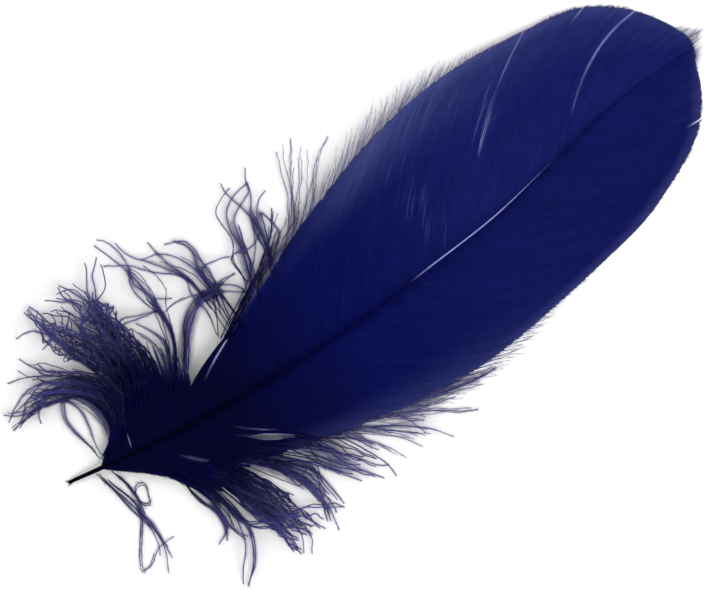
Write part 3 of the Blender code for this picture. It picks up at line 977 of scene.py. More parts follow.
@dataclass
class Vane:
    """One vane, or the thick bed of down at the quill end: barbs side by side, hooked together."""

    name: str
    reach: Knots
    first: float                # first and last root on the shaft
    last: float
    pitch: float                # from root to root
    closed: Knots               # share of a barb that is hooked to the next one, by its root
    splits: tuple[Split, ...] = ()
    ragged: Knots = ((0, 0.03), (60, 0.02), (80, 0.008), (130, 0.004), (136, 0.03), (149, 0.05))
    margin_light: Knots = ((0, 0.0), (150, 0.0))    # lighter over the outer half of the barbs: partly thinner barbs, partly painted sheen
    rim_light: Knots = ((0, 0.0), (150, 0.0))       # painted light at their very ends, which lifts the shade along the margin
    open_light: float = 0.35                        # dye lost where they aren't hooked
    seed: int = 1
    dye: BarbDye = BarbDye.LEFT
    stations: int = 13
    last_inner: float = 0.975   # share of a barb at its last station but one
    jitter: float = 0.12        # unevenness of the roots, as a share of the pitch
    overlap: float = 1.4
    opening: float = 0.3        # share of a barb over which it gets free of the next one
    half_widths: Range = (0.07, 0.6)
    open_half: float = 0.11     # greatest half width where barbs aren't hooked
    crown: float = 0.4          # half height, as a share of the half width
    half_heights: Range = (0.03, 0.08)
    proud: float = 0.16         # height over the solid's sheet
    sway: float = 0.12
    shingle: float = 4.0        # degrees by which each barb is tilted over the next
    tone_spread: float = 0.16
    split_reach: float = 2.0    # millimetres of shaft over which a split pushes the barbs
    pale_reach: float = 0.8     # barbs to either side of a split that take its painted light

    def paths(self) -> tuple[Array, Array, Array, Array]:
        """The barbs seen from above.

        Returns:
            The roots, the curve shares by barb and station, the places, and the way from each
            barb to the next one towards the tip, both by barb, station and (x, y).
        """
        rng = np.random.default_rng(self.seed)
        roots = np.arange(self.first, self.last, self.pitch)
        roots = roots + rng.uniform(-self.jitter, self.jitter, len(roots)) * self.pitch
        ends = 1.0 - smooth(self.ragged, roots) * rng.uniform(0.0, 1.0, len(roots)) ** 2
        even = np.append(np.linspace(0.0, self.last_inner, self.stations - 1), 1.0)
        shares = even[None] * ends[:, None]
        places = GROWTH.barbs(roots, self.reach, shares)
        return roots, shares, places, squared(np.gradient(places, roots, axis=0), headings(places))

    def parted(self, roots: Array, shares: Array, onward: Array) -> tuple[Array, Array]:
        """How the splits push the barbs apart, and how much painted light they lay on the barbs beside
        them.

        Around a split's root the push is half the gap, falls off over two millimetres of shaft to
        either side, and swells and ends with the split along the barb.

        Args:
            roots: The roots of the barbs.
            shares: The curve shares by barb and station.
            onward: The way to the next barb.

        Returns:
            The pushes by barb, station and (x, y), and the painted light by barb and station.
        """
        push = np.zeros(onward.shape)
        pale = np.zeros(shares.shape)
        fine_roots = np.linspace(self.first, self.last, 500)
        fine_shares = np.linspace(0.0, 1.0, 81)
        fine = GROWTH.barbs(fine_roots, self.reach, fine_shares)
        for split in self.splits:
            away = (np.linalg.norm(fine - np.array(end), axis=-1) for end in (split.start, split.end))
            (r0, f0), (r1, f1) = (np.unravel_index(far.argmin(), far.shape) for far in away)
            root = (fine_roots[r0] + fine_roots[r1]) / 2
            begin, end = fine_shares[f0], fine_shares[f1]
            slack = 0.12 * (end - begin) + 0.02
            window = eased(shares, begin - slack, begin + slack)
            if end < 0.97:
                window = window * (1 - eased(shares, end - slack, end + slack))
            off = roots[:, None] - root
            amount = np.sign(off) * split.gap / 2 * window * np.exp(-np.abs(off) / self.split_reach)
            push += amount[..., None] * unit(onward)
            near = np.exp(-(off / (self.pale_reach * self.pitch)) ** 2)
            pale = np.maximum(pale, split.pale * window * near)
        return push, pale

    def build(self, material: bpy.types.Material) -> bpy.types.Object:
        """Barbs as flat strips with a low crown, each a little over the next like shingles.

        A strip is as wide as the space to the next barb times the overlap, and narrows past the
        closed share of its length, so that the margin opens into single hairs.

        Args:
            material: Their finish.

        Returns:
            The piece.
        """
        rng = np.random.default_rng(self.seed + 50)
        roots, shares, places, onward = self.paths()
        push, pale = self.parted(roots, shares, onward)
        column = (len(roots), 1)
        spacing = np.linalg.norm(onward, axis=-1) * self.pitch
        closed = smooth(self.closed, roots)[:, None]
        open_end = eased(shares, closed, closed + self.opening)
        half = np.clip(spacing * self.overlap / 2, *self.half_widths)
        half = half * (1 - open_end) + np.minimum(half, self.open_half) * open_end
        half = half * (1 - 0.5 * eased(shares, 0.98, 1.0))
        drift = rng.normal(0, 1.0, column) * self.sway
        sway = drift * eased(shares, closed - 0.1, 1.3) * open_end * 4
        plan = places + push + sway[..., None] * unit(onward)
        depth = np.clip(half * self.crown, *self.half_heights)
        level = rng.normal(0, 0.005, column)
        centres = raised(plan, np.maximum(GROWTH.sheet_height(plan) + self.proud + level,
                                          depth + 0.02))

        ahead = headings(centres)
        climb = np.gradient(centres, roots, axis=0)[..., 2]
        side = unit(squared(raised(onward, climb), ahead))
        level_up = np.cross(ahead, side)
        handed = np.sign(level_up[..., 2:3].mean())
        tilt = np.radians(self.shingle + rng.normal(0, 1.0, (*column, 1)))
        tilted = side * np.cos(tilt) + level_up * handed * np.sin(tilt)
        tone = np.clip(0.5 + rng.normal(0, self.tone_spread, len(roots)), 0, 1)[:, None]
        # Partly painted sheen: the outer half of the barbs is lighter towards the margin, beside
        # thinner barbs.
        light = smooth(self.margin_light, roots)[:, None] * eased(shares, 0.5, 1.0)
        # Painted light: the very ends of the barbs are lighter, over the shade along the margin.
        rim = smooth(self.rim_light, roots)[:, None] * eased(shares, 0.94, 1.0)
        shape = Shape()
        # The thinness mark also carries the painted sheen and the painted light along the margin.
        add_strips(shape, centres, half, depth, tilted * handed, Section.BARB,
                   spread(shares.shape, place=plan[..., 0], distance=travelled(centres), pale=pale,
                          root=roots[:, None], tone=tone,
                          thinness=np.clip(light + rim + self.open_light * open_end, 0, 1)))
        return shape.store(self.name, material, crisp=Section.BARB)


# Where barbs reach: rows of root, end x, end y, leaving and arriving angle in degrees.
LEFT_VANE: Knots = (
    (24.5, 49.5, 8.4, 56, 22), (28, 56.5, 11, 50, 27), (32, 62, 13.3, 48, 30),
    (38, 69.5, 16.1, 48, 30), (46, 79, 19, 50, 29), (56, 89.5, 21.5, 51, 27), (66, 99.5, 23.1, 52, 27),
    (78, 112, 23.4, 53, 27), (93.5, 127, 21.4, 53, 26), (104, 136, 19.6, 51, 18),
    (112, 141.5, 16.8, 50, 10), (120, 147, 11.7, 48, 0), (128, 150.3, 6.9, 42, -2),
    (136, 152.2, 3.2, 34, 0), (143, 152.7, 1, 20, 2), (149, 152.6, -0.5, 4, 0))
RIGHT_VANE: Knots = (
    (6.5, 7.6, -2.5, -50, -50), (8.5, 11, -5.4, -54, -54), (10.5, 14, -8, -59, -59),
    (12.5, 17.2, -11.7, -62, -64), (14, 19.3, -15.5, -64, -70), (15.2, 21.6, -19, -62, -72),
    (16.3, 26, -18.8, -60, -50), (17.6, 30.8, -18.2, -60, -38), (19.2, 37, -20, -56, -32),
    (22, 45.3, -21.8, -52, -26), (25, 52, -23.8, -50, -23), (28.5, 57, -24.5, -49, -20),
    (33, 62.5, -26.2, -48, -20), (38, 68, -27.7, -48, -20), (45, 76, -28.4, -48, -18),
    (52, 84, -28.7, -48, -17), (60, 92.5, -28.2, -48, -17), (68, 100.5, -27.3, -48, -17),
    (80, 112.5, -25.7, -48, -16), (92, 124, -23.7, -47, -14), (104, 134.5, -19.9, -46, -8),
    (112, 140.5, -17, -44, -5), (120, 145.5, -12.9, -41, -2), (128, 149.2, -7.7, -34, 0),
    (136, 150.9, -3.8, -24, 0), (143, 151.8, -2.2, -14, 0), (149, 152.5, -0.6, -4, 0))
LEFT_BED: Knots = (
    (6.5, 8.5, 0.4, 43, 43), (8.5, 11.5, 1.1, 50, 45), (10.5, 13.8, 2.4, 55, 52),
    (12.5, 15.8, 5, 62, 64), (14.5, 17.4, 9.5, 74, 74), (16, 18.6, 14, 80, 80), (17.5, 20, 17, 82, 82),
    (19.5, 23, 18, 80, 80), (21.5, 27.2, 16, 76, 76), (23.2, 29.4, 13, 70, 72), (24.5, 31, 11, 66, 70),
    (26.5, 32.8, 8.6, 62, 68), (28, 33.8, 7, 58, 66))

VANES: tuple[Vane, ...] = (
    Vane("vane_left", LEFT_VANE, 24.5, 149, 0.28,
         closed=((24.5, 0.8), (32, 0.84), (46, 0.88), (56, 0.92), (66, 0.96), (78, 1), (149, 1)),
         splits=(Split((105, 6.7), (110, 11.2), 0.2, 0.85),
                 Split((115, 15.7), (126.6, 20.9), 0.1, 0.45),
                 Split((109, 10.5), (113.5, 14.2), 0.1, 0.25),
                 Split((106.5, 10.5), (111, 13.6), 0.08, 0.2), Split((125.5, 3.3), (132, 8), 0.06, 0.3),
                 Split((131, 7.4), (146.6, 11.9), 0.12, 0.8),
                 Split((136.5, 18), (139, 18.3), 0.12, 0.7), Split((37.2, 2.6), (43.2, 5.8), 0.2, 1),
                 Split((58, 10.2), (61.5, 10.8), 0.2, 0.5),
                 *PaleDashes((89.5, 6), (2.2, 4.5), 26, 0.14, 48, 5).splits(),
                 *PaleDashes((98, 17), (7, 2.2), 34, 0.13, 38, 6).splits(),
                 *PaleDashes((111, 12), (2.5, 1.6), 8, 0.2, 40, 7).splits()),
         margin_light=((24.5, 0.05), (40, 0.12), (50, 0.5), (58, 0.9), (66, 0.65), (78, 0.4), (90, 0.3),
                       (149, 0.1)),
         rim_light=((24.5, 0), (60, 0.1), (70, 0.5), (100, 0.5), (120, 0.3), (149, 0.2)), seed=11),
    Vane("vane_right", RIGHT_VANE, 6.6, 149, 0.28,
         closed=((6.5, 0.9), (13, 0.85), (15.2, 0.85), (17, 0.97), (21, 0.97), (25, 0.9), (30, 0.85),
                 (38, 0.87), (45, 0.92), (52, 0.97), (60, 1), (149, 1)),
         splits=(Split((33, -13.1), (43.8, -18.4), 1.1, 1), Split((34, -11.5), (40, -14.8), 0.1, 0.3),
                 Split((20.7, -8.8), (26.8, -13.4), 0, 0.2),
                 Split((143, -13.7), (145, -13.2), 0.2, 0.95)),
         ragged=((6, 0.03), (14, 0.05), (15.5, 0.22), (18, 0.2), (21, 0.08), (40, 0.03), (60, 0.02),
                 (80, 0.008), (130, 0.004), (136, 0.03), (149, 0.05)),
         margin_light=((6, 0), (20, 0.1), (30, 0.3), (45, 0.35), (60, 0.15), (149, 0.05)),
         rim_light=((6, 0), (40, 0.1), (60, 0.45), (149, 0.3)), seed=12, dye=BarbDye.RIGHT),
    Vane("down_bed_left", LEFT_BED, 6.6, 27.6, 0.14,
         closed=((6.5, 0.85), (12, 0.8), (16, 0.78), (20, 0.7), (24.5, 0.55), (27.6, 0.5)),
         splits=(Split((13.4, -1.2), (15.4, 1.6), 0.04, 0.8),),
         ragged=((6.5, 0.1), (12, 0.35), (22, 0.4), (27.6, 0.2)), seed=13),
)


@dataclass
class Fringe:
    """Loose ends of barbs that stand out beyond the closed margin of a vane."""

    name: str
    reach: Knots
    hairs: Knots                # root, length beyond the margin, and turn away from the vane
    pitch: float
    seed: int
    dye: BarbDye = BarbDye.LEFT
    thinness: Knots = ((0, 0.4), (40, 0.6), (60, 1.0), (100, 0.9), (149, 0.8))
    root_thinness: float = 0.2  # share of the thinness that a hair has at its root already
    hazed: float = 0.85         # haze at the ends, as a share of the thinness
    barbules: Barbules = Barbules(2.0, 2.2, 0.03, (4.0, 16.0), 0.4)
    film_every: int = 6
    film_from: float = 2.5      # only hairs longer than this carry a film
    film_half: float = 1.1
    film_cover: float = 0.3
    film_haze: float = 0.75
    start: float = 0.9          # share of a barb from which a hair leaves it
    least: float = 0.25         # no hair is meant to be shorter
    lengths: Range = (0.35, 1.15)
    turn_spread: float = 7.0    # degrees
    sway: float = 0.1
    radius: float = 0.08
    flatness: float = 0.35
    stations: int = 9

    def build(self, material: bpy.types.Material, films: Shape) -> bpy.types.Object:
        """Thin strips that go on from the barbs, whose heading turns evenly as they go.

        Args:
            material: Their finish.
            films: The shape that takes their films.

        Returns:
            The piece.
        """
        rng = np.random.default_rng(self.seed)
        roots = np.arange(self.hairs[0][0], self.hairs[-1][0], self.pitch)
        roots = roots + rng.uniform(-0.5, 0.5, len(roots)) * self.pitch
        length, turn = smooth(self.hairs, roots).T
        grown = length > self.least
        roots, length, turn = roots[grown], length[grown], turn[grown]
        count, column = len(roots), (len(roots), 1)
        length = length * rng.uniform(*self.lengths, count)
        start = rng.uniform(self.start, 1.0, count)
        ends = GROWTH.barbs(roots, self.reach, np.stack([start - 0.02, start, start * 0 + 1], axis=1))
        inside = np.linalg.norm(ends[:, 2] - ends[:, 1], axis=1)
        heading = np.arctan2(*(ends[:, 1] - ends[:, 0]).T[::-1])
        g = np.linspace(0.0, 1.0, self.stations)[None]
        bend = np.radians(turn + rng.normal(0, self.turn_spread, count))[:, None] * g
        bend = bend + self.sway * np.sin(g * 5 + rng.uniform(*ANY_PHASE, column))
        angle = heading[:, None] + bend
        step = (inside + length)[:, None] / (self.stations - 1)
        way = np.stack([np.cos(angle), np.sin(angle)], axis=-1) * step[..., None]
        plan = ends[:, 1][:, None] + np.concatenate([np.zeros((*column, 2)), way[:, :-1]],
                                                    axis=1).cumsum(1)
        radius = self.radius * (1 - 0.8 * g ** 0.8) * rng.uniform(0.6, 1.0, column)
        z = GROWTH.sheet_height(plan) - 0.2 + 0.3 * eased(g, 0.0, 0.4)
        lift = rng.uniform(0.0, 0.7, column) * g ** 1.5
        centres = raised(plan, np.maximum(z + lift, radius * 0.4 + 0.02 + lift * 0.5))
        tone = rng.uniform(0, 1, column)
        thinness = (smooth(self.thinness, roots)[:, None]
                    * (self.root_thinness + (1 - self.root_thinness) * g))
        marks = spread(radius.shape, tone=tone, thinness=thinness, distance=g * step * self.stations,
                       place=plan[..., 0], root=roots[:, None], pale=0.0,
                       haze=self.hazed * thinness * np.maximum(g**0.7, self.root_thinness - 0.2))
        shape = Shape()
        add_strips(shape, centres, radius, radius * self.flatness, level_across(centres),
                   Section.STRAND, marks)
        add_barbules(shape, centres, marks, self.barbules, np.ones(count), rng)
        filmed = np.flatnonzero(length > self.film_from)[::self.film_every]
        add_films(films, centres[filmed], self.film_half * (1 - 0.5 * g),
                  self.film_cover * (1 - eased(g, 0.4, 1.0)), thinness[filmed], self.film_haze)
        return shape.store(self.name, material)


FRINGES: tuple[Fringe, ...] = (
    Fringe("fringe_left", LEFT_VANE,
           ((24.6, 2, 25), (30, 3, 25), (36, 5, 24), (44, 8, 21), (50, 9, 17), (58, 8, 12), (64, 7, 8),
            (70, 5, 5), (76, 2.4, 2), (82, 0.8, 0), (88, 0.1, 0), (96, 0.1, 0), (132, 0.1, 0),
            (136, 1, 0), (142, 2.6, 0), (148.8, 1.8, 0)), 0.4, 21),
    Fringe("fringe_right", RIGHT_VANE,
           ((6.8, 0.5, 0), (12, 0.8, 10), (15, 1.2, 10), (19, 1.6, 0), (22, 6, -18), (28, 10, -22),
            (34, 9, -18), (40, 9, -13), (48, 7, -9), (56, 4.5, -6), (62, 2.2, -4), (70, 0.8, 0),
            (78, 0.3, 0), (134, 0.3, 0), (140, 1, 0), (148.8, 1.8, 0)), 0.5, 22,
           thinness=((0, 0.3), (18, 0.4), (30, 0.6), (45, 0.9), (60, 1), (149, 0.8)), film_every=12,
           start=0.965, root_thinness=0.6, dye=BarbDye.RIGHT),
)


@dataclass
class Tuft:
    """A tuft of down: strands that fan out between two lines, and single strands of their own."""

    first: Line
    last: Line
    strands: int
    singles: tuple[Line, ...] = ()
    lift: float = 3.0           # how high a strand rises between root and end
    rest: float = 0.4           # how far the ends stay off the table
    wave: float = 0.8           # sideways waviness near the end
    curl: float = 0.0           # radius of the loops at the ends
    shortest: float = 0.75
    company: int = 1            # strands that keep beside each single one
    radius: float = 0.12
    rooted: float = 0.45        # share of the length over which a strand leaves the sheet
    above: float = 0.2          # least height of that part over the vanes' sheet
    paling: float = 0.0          # how much paler the whole strand grows; in two hanging tufts it is painted light over their shade
    filmed: float = 0.8         # share of the single strands that carry a film
    bed: float = 0.8            # how solid the film under the whole fan looks near its root
    bed_from: float = 0.0       # share of the length at which that film begins
    crossing: float = 0.42      # how far strands of the fan stray over one another
    astray: float = 0.7         # how far company strays from its single strand
    waves: tuple[tuple[float, Range], ...] = ((0.65, (6.0, 12.0)), (0.35, (2.4, 4.6)))
    ripple: float = 0.25        # height of the ripples near the end

    def plans(self, shares: Array, rng: np.random.Generator) -> tuple[Array, Array]:
        """The strands seen from above.

        A strand of the fan lies at one share between the two lines at its root and at another at
        its end. Two sine waves and, near the end, a small circle are added to every strand.

        Args:
            shares: Shares of the length at which a strand is worked out.
            rng: Source of the random values.

        Returns:
            Places by strand, station and (x, y), and how loose each strand is.
        """
        rows, loose = [], []
        if self.strands:
            column = (self.strands, 1)
            f = shares[None] * rng.uniform(self.shortest, 1.0, column)
            root_share = rng.uniform(0, 1, column)
            end_share = np.clip(root_share + rng.normal(0, self.crossing, column), 0, 1)
            mix = (root_share + (end_share - root_share) * shares[None])[..., None]
            rows.append(along_line(self.first, f) * (1 - mix) + along_line(self.last, f) * mix)
            loose.append(np.ones(self.strands))
        for line in self.singles:
            end = np.concatenate([[1.0], rng.uniform(0.7, 0.98, self.company)])[:, None]
            path = along_line(line, shares[None] * end)
            offset = rng.normal(0, self.astray, (len(end), 1, 2)) * shares[None, :, None] ** 0.7
            offset[0] = 0
            rows.append(path + offset)
            loose.append(np.concatenate([[0.35], np.full(self.company, 0.8)]))
        plan, loose = np.concatenate(rows), np.concatenate(loose)
        column = (len(plan), 1)
        span = np.linalg.norm(np.diff(plan, axis=1), axis=2).sum(1)[:, None]
        ahead = headings(plan)
        beside = np.stack([-ahead[..., 1], ahead[..., 0]], axis=-1)
        ramp = shares[None] ** 1.2 * loose[:, None]
        swing = sum(rng.uniform(0.3, 1.0, column) * weight
                    * np.sin(2 * math.pi * (span * shares[None]) / rng.uniform(*pitch, column)
                             + rng.uniform(*ANY_PHASE, column))
                    for weight, pitch in self.waves)
        plan = plan + beside * (self.wave * swing * ramp)[..., None]
        if self.curl:
            turn = (rng.uniform(1.0, 2.4, column) * rng.choice([-1, 1], column)
                    * 2 * math.pi * shares[None] + rng.uniform(*ANY_PHASE, column))
            size = (self.curl * rng.uniform(0.3, 1.0, column) * loose[:, None]
                    * eased(shares[None], 0.5, 0.8))
            plan = plan + size[..., None] * np.stack([np.cos(turn), np.sin(turn)], axis=-1)
        return plan, loose

    def lifted(self, plan: Array, shares: Array, rng: np.random.Generator) -> tuple[Array, Array]:
        """The strands with their heights and radii.

        A strand starts on the sheet. Over its rooted share it changes to its free height, which is
        a sine that rises by its lift and comes down to its rest, with ripples.

        Args:
            plan: Places by strand, station and (x, y).
            shares: Shares of the length at the stations.
            rng: Source of the random values.

        Returns:
            Centres by strand, station and (x, y, z), and radii by strand and station.
        """
        s, column = shares[None], (len(plan), 1)
        radius = self.radius * rng.uniform(0.9, 1.25, column) * (1 - 0.25 * s ** 1.5)
        free = (self.lift * rng.uniform(0.1, 1.0, column) * np.sin(math.pi * s)
                + self.rest * rng.uniform(0, 2, column) * s ** 2
                + self.ripple * np.sin(s * rng.uniform(9, 20, column)
                                       + rng.uniform(*ANY_PHASE, column)) * s)
        held = 1 - eased(s, 0.05, self.rooted)
        sheet = GROWTH.sheet_height(plan) + self.above + rng.uniform(0.0, 0.7, column)
        z = np.maximum(sheet, 0.1) * held + (free + radius) * (1 - held)
        return raised(plan, np.clip(z, radius + 0.01, CEILING - radius)), radius

    def add_bed(self, films: Shape, shares: Array) -> None:
        """Adds the low film under the fan, from its one line to the other.

        Args:
            films: The shape that takes the film.
            shares: Shares of the length at which it is worked out.
        """
        begun = eased(shares, 0.0, 0.3) if self.bed_from else 1.0
        shares = self.bed_from + (1.0 - self.bed_from) * shares
        first, last = along_line(self.first, shares), along_line(self.last, shares)
        plan = (first + last) / 2
        held = 1 - eased(shares, 0.05, self.rooted)
        z = np.maximum(GROWTH.sheet_height(plan), 0.1) * held + 0.4 * (1 - held)
        centres = raised(plan, z)[None]
        beside = level_across(centres)[0, :, :2]
        half = np.abs(((first - last) * beside).sum(1)) / 2 + 0.3
        # Painted light: from a third of its length on, the film goes towards the pale haze colour, over
        # the shade that the strands above cast on it.
        add_films(films, centres, half, self.bed * begun * (1 - eased(shares, 0.45, 1.0)),
                  0.6 * shares, 0.6 * eased(shares, 0.3, 0.75))


@dataclass
class Down:
    """Several tufts of down that make one piece."""

    name: str
    tufts: tuple[Tuft, ...]
    seed: int
    stations: int = 24
    barbules: Barbules = Barbules(10.0, 1.5, 0.035, (12.0, 50.0), 0.15)
    fan_fullness: float = 0.3
    flatness: float = 0.85
    film_half: float = 0.65
    film_cover: float = 0.48
    worn_away: Range = (13.0, 32.0)     # dye is lost between these distances from the shaft
    worn_along: Range = (0.3, 0.95)     # and between these shares of the strand
    ribbed: float = 30.0                # distance that the grain counts along a strand

    def build(self, material: bpy.types.Material, films: Shape) -> bpy.types.Object:
        """Three-sided strands with barbules, and films along some of them and under the fans.

        Args:
            material: Their finish.
            films: The shape that takes their films.

        Returns:
            The piece.
        """
        rng = np.random.default_rng(self.seed)
        shares = np.linspace(0.0, 1.0, self.stations)
        s = shares[None]
        strands, radii, filmed, fullness, marks = [], [], [], [], []
        for tuft in self.tufts:
            plan, loose = tuft.plans(shares, rng)
            centres, radius = tuft.lifted(plan, shares, rng)
            strands.append(centres)
            radii.append(radius)
            filmed.append((loose < 0.5) & (rng.uniform(0, 1, len(plan)) < tuft.filmed))
            fullness.append(np.where(loose < 0.9, 1.0, self.fan_fullness))
            away = np.abs(plan[..., 1] - GROWTH.middle(plan[..., 0]))
            lightened = 0.5 * eased(away, *self.worn_away) + 0.5 * eased(s, *self.worn_along)
            marks.append(spread(radius.shape, tone=rng.uniform(0, 1, (len(plan), 1)),
                                thinness=np.clip(lightened + tuft.paling * eased(s, 0.0, 0.35), 0, 1),
                                distance=s * self.ribbed, haze=0.0))
            if tuft.strands and tuft.bed:
                tuft.add_bed(films, shares)
        centres, radius, chosen = (np.concatenate(rows) for rows in (strands, radii, filmed))
        kept = {name: np.concatenate([mark[name] for mark in marks]) for name in marks[0]}
        shape = Shape()
        add_strips(shape, centres, radius, radius * self.flatness, level_across(centres),
                   Section.STRAND, kept)
        add_barbules(shape, centres, kept, self.barbules, np.concatenate(fullness), rng)
        half = self.film_half * (0.15 + 0.85 * eased(s, 0.1, 0.5)) * (1 - 0.5 * eased(s, 0.7, 1.0))
        add_films(films, centres[chosen], half, self.film_cover * (1 - 0.5 * eased(s, 0.85, 1.0)),
                  np.maximum(kept["thinness"][chosen], 0.8 * eased(s, 0.15, 0.6)))
        return shape.store(self.name, material)


